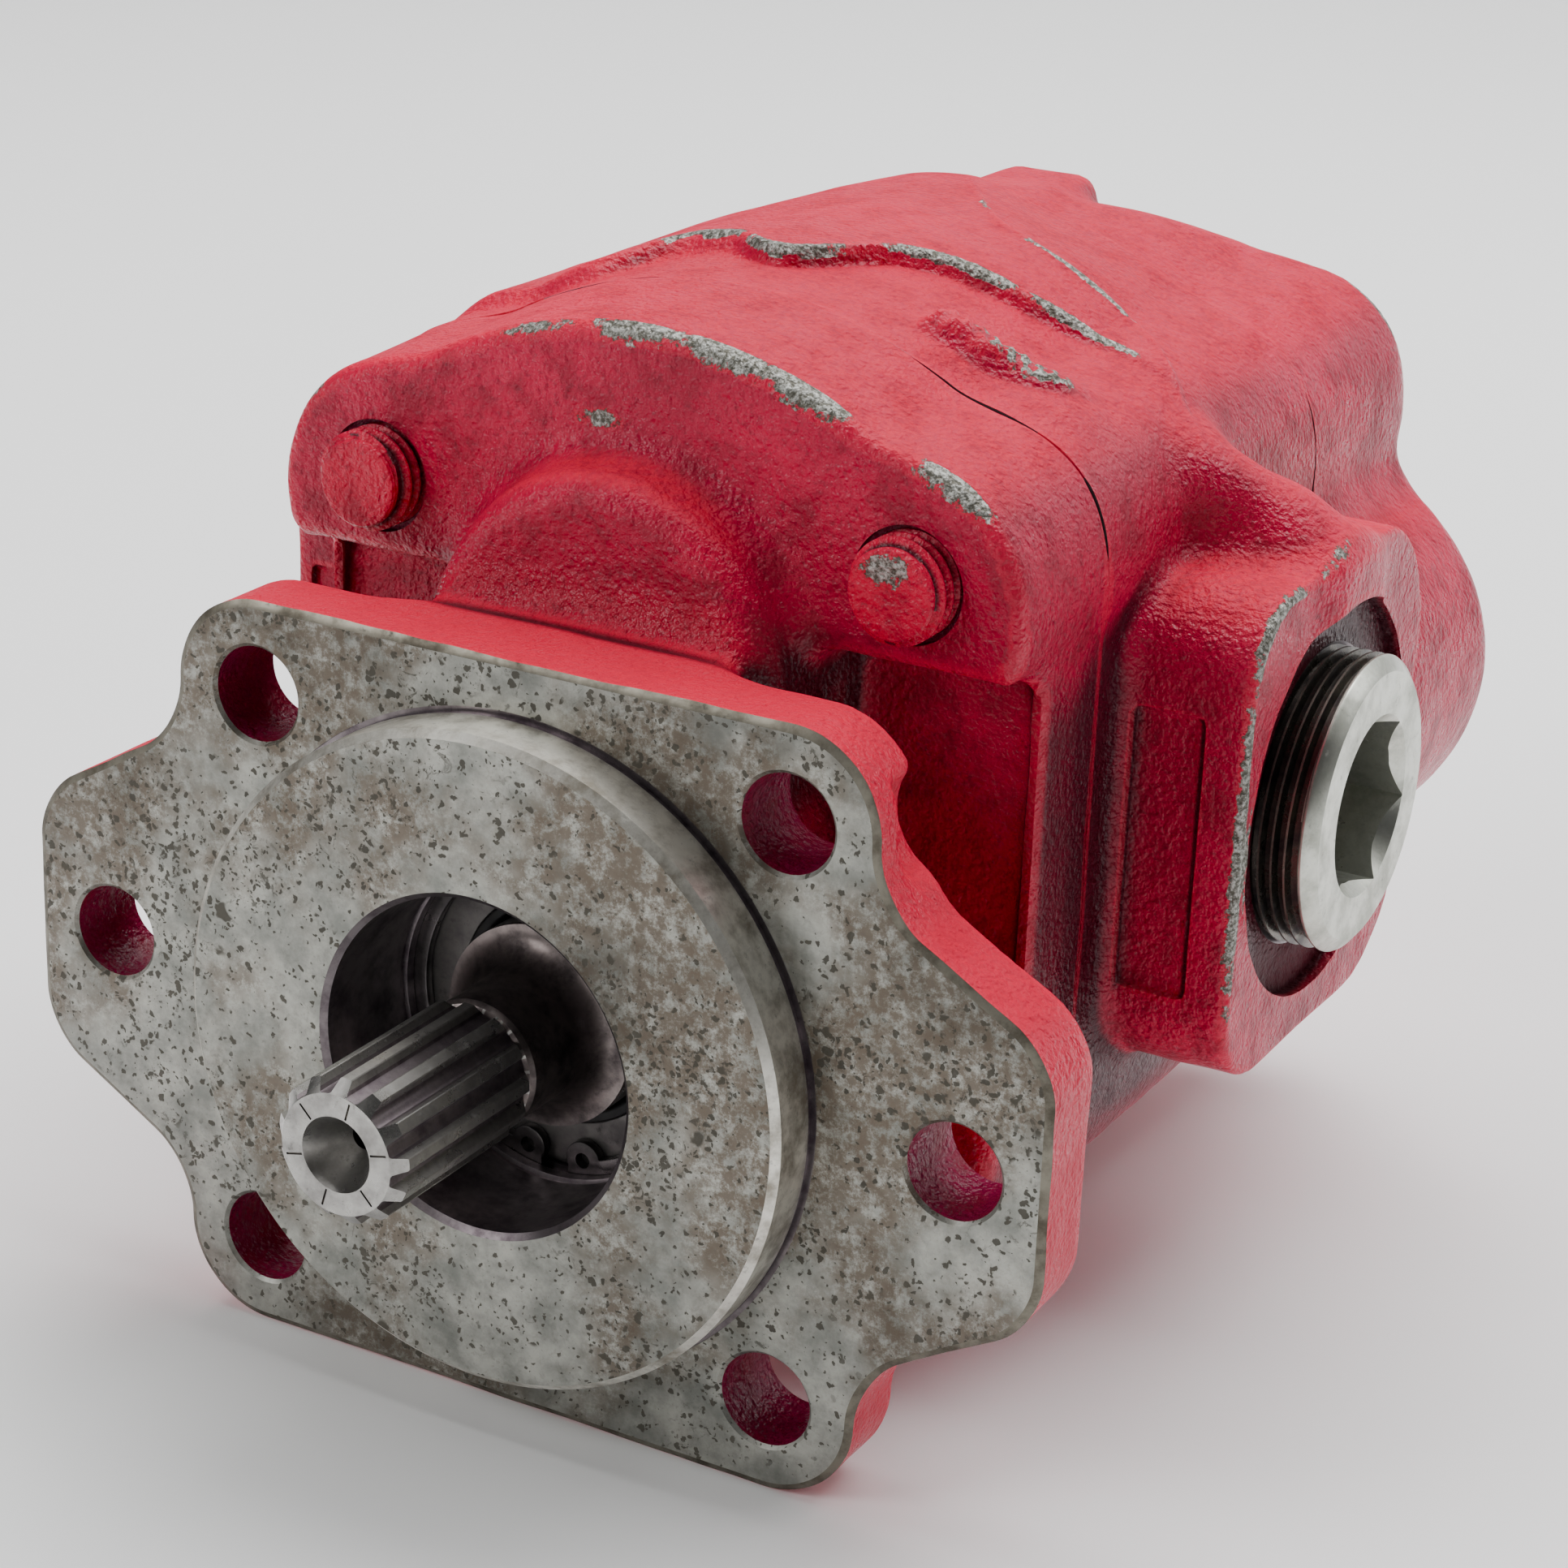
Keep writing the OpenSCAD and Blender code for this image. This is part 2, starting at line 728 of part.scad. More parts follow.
// Rubber ring in the neck behind the plug thread.
module plug_seal() {
    color("black") translate([plug_face_x - plug_len, port_y, mid_z]) rotate([0, 90, 0])
        rotate_extrude() translate([plug_r - plug_neck + plug_ring_r, plug_ring_r + ring_play])
            circle(r = plug_ring_r, $fn = 32);
}

front_cover();
gear_housing();
rear_cover();
drive_gear_shaft();
driven_gear_shaft();
front_drive_bushing();
front_driven_bushing();
rear_drive_bushing();
rear_driven_bushing();
front_thrust_plate();
rear_thrust_plate();
front_plate_seal();
rear_plate_seal();
front_body_seal();
rear_body_seal();
shaft_seal_case();
shaft_seal_lip();
seal_garter_spring();
retaining_ring();
front_dowel_pins();
rear_dowel_pins();
tie_bolts();
bolt_washers();
port_plug();
plug_seal();
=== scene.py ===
"""Looks of the hydraulic gear pump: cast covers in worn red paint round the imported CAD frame.

Modelling is done in millimetres in the row frame and scaled to metres when a mesh is made.
Castings are distance fields turned into meshes, and cutters then machine their bare faces.
"""

import math

import bmesh
import bpy
import numpy as np
from mathutils import Matrix, Vector


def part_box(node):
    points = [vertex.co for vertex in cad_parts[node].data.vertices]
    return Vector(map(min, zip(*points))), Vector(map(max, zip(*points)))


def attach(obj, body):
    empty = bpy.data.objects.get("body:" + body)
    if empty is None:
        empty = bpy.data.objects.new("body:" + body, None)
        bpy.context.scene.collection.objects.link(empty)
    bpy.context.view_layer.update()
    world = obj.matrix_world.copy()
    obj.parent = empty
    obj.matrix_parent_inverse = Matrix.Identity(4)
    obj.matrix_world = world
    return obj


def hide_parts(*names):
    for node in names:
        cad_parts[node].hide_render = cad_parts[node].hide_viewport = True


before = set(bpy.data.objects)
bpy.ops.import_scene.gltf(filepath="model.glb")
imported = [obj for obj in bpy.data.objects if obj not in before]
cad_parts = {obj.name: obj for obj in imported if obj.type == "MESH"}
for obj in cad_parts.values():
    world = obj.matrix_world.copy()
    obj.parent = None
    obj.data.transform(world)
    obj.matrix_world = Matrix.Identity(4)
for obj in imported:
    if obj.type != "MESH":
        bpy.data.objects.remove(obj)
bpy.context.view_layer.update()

# ------------------------------------------------------------------ sizes, in millimetres

MM = 0.001


def span(node):
    """Lowest and highest corner of a CAD node in millimetres."""
    low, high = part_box(node)
    return low / MM, high / MM


cover_low, cover_high = span("front_cover")
housing_high = span("gear_housing")[1]
rear_low, rear_high = span("rear_cover")
shaft_low, shaft_high = span("drive_gear_shaft")
bush_low = span("front_drive_bushing")[0]
bolt_low, bolt_high = span("tie_bolts")
seal_low, seal_high = span("shaft_seal_case")
ring_low, ring_high = span("retaining_ring")
plug_low, plug_high = span("port_plug")

CENTRE = 50.8
MID_Z = CENTRE / 2
FLANGE_T = 14.0
FLANGE_SIDE = 59.3
FLANGE_CORNER = 14.4
FLANGE_X = cover_high.x
FLANGE_Z = -cover_low.z
PILOT_R = 50.8
PILOT_H = -cover_low.y
COVER_Y = 31.6
SEAM1 = cover_high.y
SEAM2 = rear_low.y
REAR_Y = rear_high.y
HALF_W = 63.7
ARCH_R = 77.0
EAR_R = 18.3
TIE = 45.4
DRAFT = 1.7
COLLAR_R = 44.0
DOME_R = 30.0
DOME_Y = 21.2
WAIST_HALF_Z = 32.3
HUB_R = 27.0
LOBE_X = 50.3
LOBE_R = 34.4
CHAMBER_R = 29.7
BOSS_HALF_Z = 39.1
BOSS_Y = (63.2, 66.4)
PORT_X = housing_high.x
PORT_Y = 101.6
PORT_SPOT_R = 32.0
PORT_SPOT_DEPTH = 2.6
PORT_R = 23.65
BOLT_HOLES = [(73.025, 0), (-73.025, 0)] + [(sx * 44.9, sz * 44.9) for sx in (-1, 1) for sz in (-1, 1)]
BOLT_HOLE_R = 7.35
TIES = [(sx * TIE, MID_Z + sz * TIE) for sx in (-1, 1) for sz in (-1, 1)]
JOURNAL_R = 15.875
SEAL_R = seal_high.x
SEAL_Y = seal_low.y
BUSH_R = 19.5
CUT_REACH = 140
SPLINE_R = 10.95
SPLINE_ROOT_R = 9.1
SPLINE_TEETH = 13
GEAR_TEETH = 12
GEAR_W = 63.5
SPLINE_END_Y = -9.8
FLARE_Y = 8.1
NECK_R = 10.1
TIE_R = 7.9
TIE_PITCH = 2.309
TIE_FLATS = 23.8
PORT_PITCH = 2.117
SOCKET_FLATS = 25.4
SOCKET_TURN = 11

GRID = 1.25
FINE_GRID = 0.85

# ------------------------------------------------------------------ distance fields


def join(a, b, r):
    """Union of two distances with a fillet of radius r in the corner."""
    return np.maximum(r, np.minimum(a, b)) - np.hypot(np.maximum(r - a, 0), np.maximum(r - b, 0))


def meet(a, b, r):
    """Intersection of two distances with its outer edge rounded to radius r."""
    return -join(-a, -b, r)


def block(x, y, z, low, high, r):
    """Box between two corners with all its edges rounded."""
    centre = [(a + b) / 2 for a, b in zip(low, high)]
    half = [(b - a) / 2 - r for a, b in zip(low, high)]
    qx, qy, qz = (np.abs(v - c) - h for v, c, h in zip((x, y, z), centre, half))
    outside = np.sqrt(np.maximum(qx, 0) ** 2 + np.maximum(qy, 0) ** 2 + np.maximum(qz, 0) ** 2)
    return outside + np.minimum(np.maximum(qx, np.maximum(qy, qz)), 0) - r


def capsule(x, y, z, a, b, ra, rb):
    """Rod from a to b whose radius goes from ra to rb."""
    a, b = np.array(a, float), np.array(b, float)
    d = b - a
    t = ((x - a[0]) * d[0] + (y - a[1]) * d[1] + (z - a[2]) * d[2]) / (d @ d)
    t = np.clip(t, 0, 1)
    px, py, pz = x - a[0] - t * d[0], y - a[1] - t * d[1], z - a[2] - t * d[2]
    return np.sqrt(px ** 2 + py ** 2 + pz ** 2) - (ra + (rb - ra) * t)


def smooth(t):
    """Smooth step from 0 to 1."""
    t = np.clip(t, 0, 1)
    return t * t * (3 - 2 * t)


def flange_2d(x, z):
    """Outline of the mounting flange: a rounded square with two tapered ears."""
    ax, az = np.abs(x), np.abs(z)
    qx, qz = ax - (FLANGE_SIDE - FLANGE_CORNER), az - (FLANGE_Z - FLANGE_CORNER)
    square = np.hypot(np.maximum(qx, 0), np.maximum(qz, 0)) + np.minimum(np.maximum(qx, qz), 0)
    square = square - FLANGE_CORNER
    ears = meet(ax - FLANGE_X, 0.5 * ax + 0.866 * az - 61.2, 6.5)
    return join(square, np.maximum(ears, az - 38), 7)


def body_2d(x, z):
    """Outline of housing and covers: an arched block with four bolt ears."""
    ax, az = np.abs(x), np.abs(z - MID_Z)
    arch = meet(np.hypot(ax, az) - ARCH_R, ax - HALF_W, 3)
    return join(arch, np.hypot(ax - TIE, az - TIE) - EAR_R, 5)


def cover_field(x, y, z):
    """Front cover as cast, with stock left on the faces that are machined."""
    plate = meet(meet(flange_2d(x, z), y - FLANGE_T, 2.4), -y - 14, 1)
    relief = meet(np.hypot(np.abs(x) - 64, z - 46) - 9, 6.6 - y, 1)
    plate = meet(plate, -relief, 1.6)
    neck = meet(np.hypot(x, z) - COLLAR_R, y - 50, 1)
    neck = meet(neck, -y - 2, 1)
    draft = DRAFT * np.clip((SEAM1 - y) / (SEAM1 - COVER_Y), 0, 1)
    body = meet(body_2d(x, z) + draft, COVER_Y - y, 2.9)
    body = meet(body, y - SEAM1 - 4, 1)
    z0, z1 = MID_Z - WAIST_HALF_Z, MID_Z + WAIST_HALF_Z
    flank = block(x, y, z, (-90, 0, z0), (90, 41.2, z1), 4)
    pocket = block(np.abs(x), y, z, (30, 0, z0), (60.6, 45.5, z1), 3)
    body = meet(body, -flank, 4.2)
    body = meet(body, -pocket, 1.5)
    rise = np.clip(z, 0, CENTRE)
    dome = meet(np.hypot(x, z - rise) - DOME_R, DOME_Y - y, 5)
    dome = meet(dome, y - 45, 1)
    stem = join(dome, plate, 13)
    return join(join(body, stem, 6), neck, 6)


# Measured along the casting's top, as (x, y): the foot of its raised back, and a thin flash line.
STEP_FOOT = [(-34, 65.5), (-29, 67), (-26, 74), (-22, 79), (-17, 77), (-12, 76), (-5, 72), (1, 69), (8, 79),
             (11, 85), (20, 90), (30, 92), (40, 97), (50, 98), (60, 98)]
FLASH = [(-34, 100), (-24, 106), (-14, 128), (-6, 140), (0, 135.5), (7, 125.5), (13, 117.5), (18, 113.5),
         (24, 112.5), (39, 111.5), (46, 109.5), (54, 100.5), (62, 92.5), (70, 84)]
# The same along x, with the step's height.
STEP_HEIGHT = [(-60, 0), (-50, 2.6), (-34, 3.2), (-12, 3.0), (0, 3.3), (10, 3.0), (25, 2.7),
               (42, 1.9), (56, 0.3), (62, 0)]


def along(x, points):
    """Value at x of a curve through points, with its corners softened."""
    px, py = zip(*points)
    return sum(np.interp(x + d, px, py) for d in (-2.2, -1.1, 0, 1.1, 2.2)) / 5


def top_relief(x, y, z):
    """Height that the casting adds to the arched top of the housing."""
    flash = along(x, FLASH)
    ramp = 2.4 + 3.6 * smooth(-(x + 3) / 10)
    step = along(x, STEP_HEIGHT) * smooth((y - along(x, STEP_FOOT)) / ramp)
    step = step * (1 - 0.8 * smooth((y - flash - 1) / (22 + 12 * smooth(-x / 20))))
    line = 0.5 * np.exp(-((y - flash) / 0.9) ** 2) * smooth((x + 2) / 6) * smooth((68 - x) / 6)
    lip_y = 66.4 + 0.035 * np.clip(x - 36, 0, 30) ** 2
    lip = 3.1 * smooth((y - lip_y + 0.6) / 3.6) * (1 - smooth((y - lip_y - 4.4) / 6))
    lip = lip * (1 + 0.16 * np.sin(1.9 * x) * np.sin(1.3 * y + 0.7 * x))
    lip = lip * smooth((x - 24) / 6) * smooth((53 - x) / 8)
    swell = 1.1 * smooth((y - 61) / 7) * (1 - smooth((y - 72) / 8))
    swell = swell * smooth((x - 26) / 8) * smooth((58 - x) / 8)
    return (step + line + lip + swell) * smooth((z - 62) / 8)


def boss_field(x, y, z):
    """Port boss and its sloping rib, the same on both flanks."""
    ax, zm = np.abs(x), z - MID_Z
    front = meet(np.abs(zm) - BOSS_HALF_Z, np.where(x < 0, *BOSS_Y) - y, 15)
    outline = meet(front, y - SEAM2 - 1.5 + 0.35 * np.clip(np.abs(zm) - 20, 0, 40) ** 1.05, 12)
    boss = meet(outline, ax - PORT_X, 1.4)
    boss = meet(boss, 40 - ax, 1)
    rib = join(capsule(ax, y, z, (61, 94, 73.3), (73, 100.5, 65), 8.4, 8.4),
               capsule(ax, y, z, (73, 100.5, 65), (83, 104, 57), 8.4, 9), 3)
    rib = meet(rib, ax - PORT_X, 1.4)
    return join(boss, rib, 8)


def housing_field(x, y, z):
    """Gear housing as cast, longer than it is at both seams."""
    body = body_2d(x, z) - top_relief(x, y, z)
    body = meet(meet(body, SEAM1 - 4 - y, 1), y - SEAM2 - 4, 1)
    shell = join(body, boss_field(x, y, z), 4.5)
    label = block(x, y, z, (66.3, 60, 2), (77.6, 67.6, 47), 1)
    label = np.minimum(label, block(-x, y, z, (68, 58, -6), (81.6, 64.6, 41.5), 1))
    return meet(shell, -label, 0.5)


def rear_field(x, y, z):
    """Rear cover as cast: arch that slopes away, bolt ears and a round lobe on each flank."""
    ax, zm = np.abs(x), z - MID_Z
    fall = 9.5 * smooth((y - 136 - 0.83 * np.maximum(x, 0)) / 34)
    arch = meet(np.hypot(ax, zm) - ARCH_R + fall, ax - HALF_W, 3)
    arch = meet(arch, y - REAR_Y + 1, 5)
    ear = meet(np.hypot(ax - TIE, np.abs(zm) - TIE) - EAR_R + 0.5, y - REAR_Y, 1.6)
    lobe = meet(np.hypot(ax - LOBE_X, zm) - LOBE_R, y - REAR_Y, 8)
    body = join(join(arch, ear, 6), lobe, 7)
    crown = block(x, y, z, (-8, 136, 60), (10.5, 167.5, 102.4), 4)
    crown2 = block(x, y, z, (-15, 132, 60), (0, 150, 102.2), 5)
    body = join(body, join(crown, crown2, 2.5), 4)
    hub = meet(np.hypot(x, z - np.clip(z, 0, CENTRE)) - HUB_R, y - REAR_Y - 3, 4)
    body = join(body, hub, 5)
    return meet(body, SEAM2 - 4 - y, 1)


def castings_field(x, y, z):
    """All three castings together, to paint shade where they close in round a point."""
    return np.minimum(np.minimum(cover_field(x, y, z), housing_field(x, y, z)), rear_field(x, y, z))


# ------------------------------------------------------------------ meshes from fields


def graded(low, high, fine):
    """Grid places from low to high, closer together in the range called fine."""
    start = min(max(low, fine[0]), high)
    end = max(start, min(high, fine[1]))
    return np.concatenate([np.arange(low, start, GRID), np.arange(start, end, FINE_GRID),
                           np.arange(end, high + GRID, GRID)])


def net(field, axes):
    """Vertices and quads of the zero level of a field, by surface nets on a grid."""
    grid = np.ix_(*axes)
    f = np.broadcast_to(field(*grid), tuple(len(a) for a in axes)).astype(np.float32)
    cells = tuple(n - 1 for n in f.shape)
    total, count = np.zeros(cells + (3,), np.float32), np.zeros(cells, np.float32)
    crossings = []
    for axis in range(3):
        a = np.take(f, range(cells[axis]), axis)
        b = np.take(f, range(1, cells[axis] + 1), axis)
        hit = (a < 0) != (b < 0)
        share = np.where(hit, a / np.where(hit, a - b, 1), 0)
        crossings.append((hit, a < 0))
        u, v = [k for k in range(3) if k != axis]
        for du, dv in np.ndindex(2, 2):
            window = [slice(None)] * 3
            window[u] = slice(du, du + cells[u])
            window[v] = slice(dv, dv + cells[v])
            here = hit[tuple(window)]
            count += here
            total[..., axis] += here * share[tuple(window)]
            total[..., u] += here * du
            total[..., v] += here * dv
    used = count > 0
    index = np.full(cells, -1)
    index[used] = np.arange(used.sum())
    corner = np.argwhere(used)
    share = total[used] / count[used][:, None]
    verts = np.stack([a[c] + t * (a[c + 1] - a[c]) for a, c, t in zip(axes, corner.T, share.T)], 1)
    quads = []
    for axis, (hit, inside) in enumerate(crossings):
        u, v = (axis + 1) % 3, (axis + 2) % 3
        place = np.argwhere(hit)
        place = place[((place > 0) & (place < cells))[:, [u, v]].all(1)]
        ring = []
        for du, dv in ((-1, -1), (0, -1), (0, 0), (-1, 0)):
            at = place.copy()
            at[:, [u, v]] += (du, dv)
            ring.append(index[tuple(at.T)])
        ring = np.stack(ring, 1)
        outward = inside[tuple(place.T)]
        quads.append(np.where(outward[:, None], ring, ring[:, ::-1]))
    return verts.astype(float), np.concatenate(quads)


def slope(field, p, h=0.15):
    """Gradient of a field at points."""
    return np.stack([field(*(p + d).T) - field(*(p - d).T) for d in np.eye(3) * h], 1) / (2 * h)


def unit(v):
    """Vectors at length one."""
    return v / np.maximum(np.linalg.norm(v, axis=1), 1e-6)[:, None]


def settle(field, p, step):
    """Moves points onto the zero level of a field. Returns them and their normals."""
    for _ in range(4):
        grad = slope(field, p)
        size = np.maximum((grad ** 2).sum(1), 0.05)
        move = (field(*p.T) / size)[:, None] * grad
        length = np.linalg.norm(move, axis=1)
        p = p - move * np.minimum(1, 0.5 * step / np.maximum(length, 1e-9))[:, None]
    return p, unit(slope(field, p))


def rough_noise(p, size, seed):
    """Smooth random values from -1 to 1 with features of the given size."""
    side = 32
    table = np.random.default_rng(seed).uniform(-1, 1, (side,) * 3)
    q = p / size
    base = np.floor(q).astype(int)
    t = smooth(q - base)
    value = 0
    for corner in np.ndindex(2, 2, 2):
        weight = np.prod([t[:, k] if c else 1 - t[:, k] for k, c in enumerate(corner)], 0)
        value = value + weight * table[tuple((base + corner).T % side)]
    return value


def new_object(name, verts, faces, materials):
    """Mesh object from points in millimetres."""
    mesh = bpy.data.meshes.new(name)
    mesh.from_pydata((np.asarray(verts, float) * MM).tolist(), [], [list(f) for f in faces])
    mesh.validate()
    for m in materials:
        mesh.materials.append(m)
    ob = bpy.data.objects.new(name, mesh)
    bpy.context.scene.collection.objects.link(ob)
    return ob


def casting(name, field, low, high, seed, fine=((0, 0), (0, 0), (0, 0))):
    """A rough cast body: field surface with a slight unevenness."""
    verts, quads = net(field, [graded(a, b, f) for a, b, f in zip(low, high, fine)])
    verts, normals = settle(field, verts, FINE_GRID)
    uneven = 0.20 * rough_noise(verts, 14, seed) + 0.10 * rough_noise(verts, 5, seed + 1)
    verts = verts + normals * uneven[:, None]
    return new_object(name, verts, quads.tolist(), CAST)


# ------------------------------------------------------------------ turned and threaded solids


def skin(rings, n, wrap, closed):
    """Faces over rings of n points. wrap joins the last ring to the first, closed joins each ring's ends."""
    faces = []
    for s in range(rings if wrap else rings - 1):
        e = (s + 1) % rings
        for k in range(n if closed else n - 1):
            m = (k + 1) % n
            faces.append((s * n + k, s * n + m, e * n + m, e * n + k))
    if not closed:
        faces += [[s * n for s in range(rings)], [s * n + n - 1 for s in reversed(range(rings))]]
    if not wrap:
        faces += [list(range(n)), [rings * n - 1 - k for k in range(n)]]
    return faces


def shift(verts, by):
    """Moves points."""
    return [tuple(v + d for v, d in zip(p, by)) for p in verts]


def mend(ob):
    """Merges doubled points, removes empty faces and makes all faces look outwards."""
    bm = bmesh.new()
    bm.from_mesh(ob.data)
    bmesh.ops.remove_doubles(bm, verts=bm.verts, dist=2e-6)
    bmesh.ops.dissolve_degenerate(bm, edges=bm.edges, dist=1e-6)
    bmesh.ops.recalc_face_normals(bm, faces=bm.faces)
    bm.to_mesh(ob.data)
    bm.free()
    return ob


def place(ob, degrees, axis, at):
    """Turns a mesh about an axis through the origin, then moves it."""
    ob.data.transform(Matrix.Rotation(math.radians(degrees), 4, axis))
    ob.data.transform(Matrix.Translation(Vector(at) * MM))
    return ob


def turned(name, profile, materials, at=(0, 0, 0), segments=128, closed=False):
    """A solid turned round Y. An open profile runs from face to face and is closed with flat ends."""
    angle = np.arange(segments) * 2 * math.pi / segments
    verts = [(r * math.cos(a), y, r * math.sin(a)) for a in angle for r, y in profile]
    return mend(new_object(name, shift(verts, at), skin(segments, len(profile), True, closed), materials))


def rounded(points, radii, steps=4):
    """Closed outline with each corner rounded to its radius."""
    out, n = [], len(points)
    for k, (p, r) in enumerate(zip(points, radii)):
        p = np.array(p, float)
        a, b = np.array(points[k - 1], float) - p, np.array(points[(k + 1) % n], float) - p
        la, lb = np.linalg.norm(a), np.linalg.norm(b)
        a, b = a / la, b / lb
        half = math.acos(np.clip(a @ b, -1, 1)) / 2
        if r <= 0 or half > 1.55:
            out.append(tuple(p))
            continue
        reach = min(r / math.tan(half), 0.49 * la, 0.49 * lb)
        r = reach * math.tan(half)
        centre = p + (a + b) / np.linalg.norm(a + b) * r / math.sin(half)
        start, end = p + a * reach - centre, p + b * reach - centre
        a0 = math.atan2(start[1], start[0])
        turn = (math.atan2(end[1], end[0]) - a0 + math.pi) % (2 * math.pi) - math.pi
        for i in range(steps + 1):
            t = a0 + turn * i / steps
            out.append((centre[0] + r * math.cos(t), centre[1] + r * math.sin(t)))
    return out


def thread(name, radius, depth, pitch, y0, y1, ends, materials, segments=96, lead=0.8):
    """Threaded rod along Y from y0 to y1. ends adds (radius, place) points before y0 and after y1."""
    wave = [(0.0, 0.0), (0.18, 0.0), (0.42, 1.0), (0.58, 1.0), (0.82, 0.0)]
    turns = int((y1 - y0) / pitch) + 3
    rows = [(k + t, d) for k in range(-1, turns) for t, d in wave]
    verts, faces = [], []
    n = len(ends[0]) + len(rows) + len(ends[1])
    for s in range(segments):
        part = s / segments
        a = 2 * math.pi * part
        ring = list(ends[0])
        for t, d in rows:
            y = y0 + (t + part) * pitch
            fade = min(1, max(0, (y - y0) / (lead * pitch))) * min(1, max(0, (y1 - y) / (lead * pitch)))
            ring.append((radius - depth * (1 - d * fade), min(max(y, y0), y1)))
        ring += list(ends[1])
        verts += [(r * math.cos(a), y, r * math.sin(a)) for r, y in ring]
    first, last = len(ends[0]), n - len(ends[1])
    for s in range(segments):
        e = (s + 1) % segments
        for k in range(n - 1):
            inside = e == 0 and first <= k < last - 1
            far = k + len(wave) if inside else k
            if not inside or far + 1 < last:
                faces.append((s * n + k, s * n + k + 1, e * n + far + 1, e * n + far))
    faces += [[s * n for s in range(segments)], [s * n + n - 1 for s in reversed(range(segments))]]
    return mend(new_object(name, verts, faces, materials))


def prism(name, outline, y0, y1, materials, at=(0, 0, 0)):
    """Solid from a flat outline of (x, z) points, extruded along Y."""
    verts = [(x, y, z) for y in (y0, y1) for x, z in outline]
    return mend(new_object(name, shift(verts, at), skin(2, len(outline), False, True), materials))


def combine(target, others, operation="DIFFERENCE"):
    """Cuts or joins other solids to the target for good. The others are used up."""
    for other in others:
        tool = target.modifiers.new("tool", "BOOLEAN")
        tool.solver = "MANIFOLD"
        tool.operation = operation
        tool.object = other
    bpy.context.view_layer.update()
    graph = bpy.context.evaluated_depsgraph_get()
    made = bpy.data.meshes.new_from_object(target.evaluated_get(graph))
    target.modifiers.clear()
    old, target.data = target.data, made
    bpy.data.meshes.remove(old)
    for other in others:
        bpy.data.objects.remove(other)
    if len(made.polygons) == 0:
        raise RuntimeError(f"{target.name} came out empty")
    return target


def finish_piece(ob, body, nodes=(), sharp=32):
    """Shading, body and replaced CAD nodes of a piece."""
    ob.data.shade_smooth()
    ob.data.set_sharp_from_angle(angle=math.radians(sharp))
    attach(ob, body)
    if nodes:
        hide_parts(*nodes)
    return ob


def mark(ob, **marks):
    """Stores numbers per vertex for the materials."""
    for name, values in marks.items():
        data = ob.data.attributes.get(name) or ob.data.attributes.new(name, "FLOAT", "POINT")
        data.data.foreach_set("value", np.broadcast_to(values, len(data.data)).astype(np.float32))


def points_of(ob):
    """Vertices of a mesh in millimetres."""
    co = np.zeros(len(ob.data.vertices) * 3)
    ob.data.vertices.foreach_get("co", co)
    return co.reshape(-1, 3) / MM


EDGE_REACH = 1.2
HOLLOW_REACH = 4.4
SHADE_REACH = (5, 15)


def bells(p, places):
    """Highest at each point of soft bell shapes given as (centre, size, height)."""
    value = np.zeros(len(p))
    for centre, size, height in places:
        value = np.maximum(value, height * np.exp(-(((p - centre) / size) ** 2).sum(1)))
    return value


def mark_wear(ob, field, worn, spots):
    """Marks of a casting, from its field, its worn edges and its bare spots, with painted shade in its
    recesses and on its flanks and a painted sheen on its tops.
    """
    p = points_of(ob)
    value, n = field(*p.T), unit(slope(field, p))
    bend = -6 * value
    for step in np.vstack([np.eye(3), -np.eye(3)]) * EDGE_REACH:
        bend = bend + field(*(p + step).T)
    # Painted shade: the more the castings close in round a point, the darker its paint.
    deep = 1 - sum(castings_field(*(p + n * far).T) / far for far in SHADE_REACH) / len(SHADE_REACH)
    # The flanks between the flange and the rear cover, below the shoulders, get painted shade too, the more a
    # face looks sideways.
    x, y, z = p.T
    flank = n[:, 0] ** 2 * smooth((72 - z) / 25) * smooth((84 - np.abs(x)) / 5)
    flank = flank * smooth((128 - y) / 8) * smooth((y - 20) / 8)
    # level is how far a face looks up; the paint turns lighter there, a painted sheen on the tops.
    mark(ob, worn=bells(p, worn), spot=bells(p, spots), fresh=smooth((16 - y) / 4),
         deep=np.clip(deep + 0.66 * flank, 0, 1), level=np.clip(n[:, 2], 0, 1),
         edge=np.clip(3 * bend / EDGE_REACH ** 2, 0, 1),
         hollow=np.clip(1 - (field(*(p + n * HOLLOW_REACH).T) - value) / HOLLOW_REACH, 0, 1))


# ------------------------------------------------------------------ materials


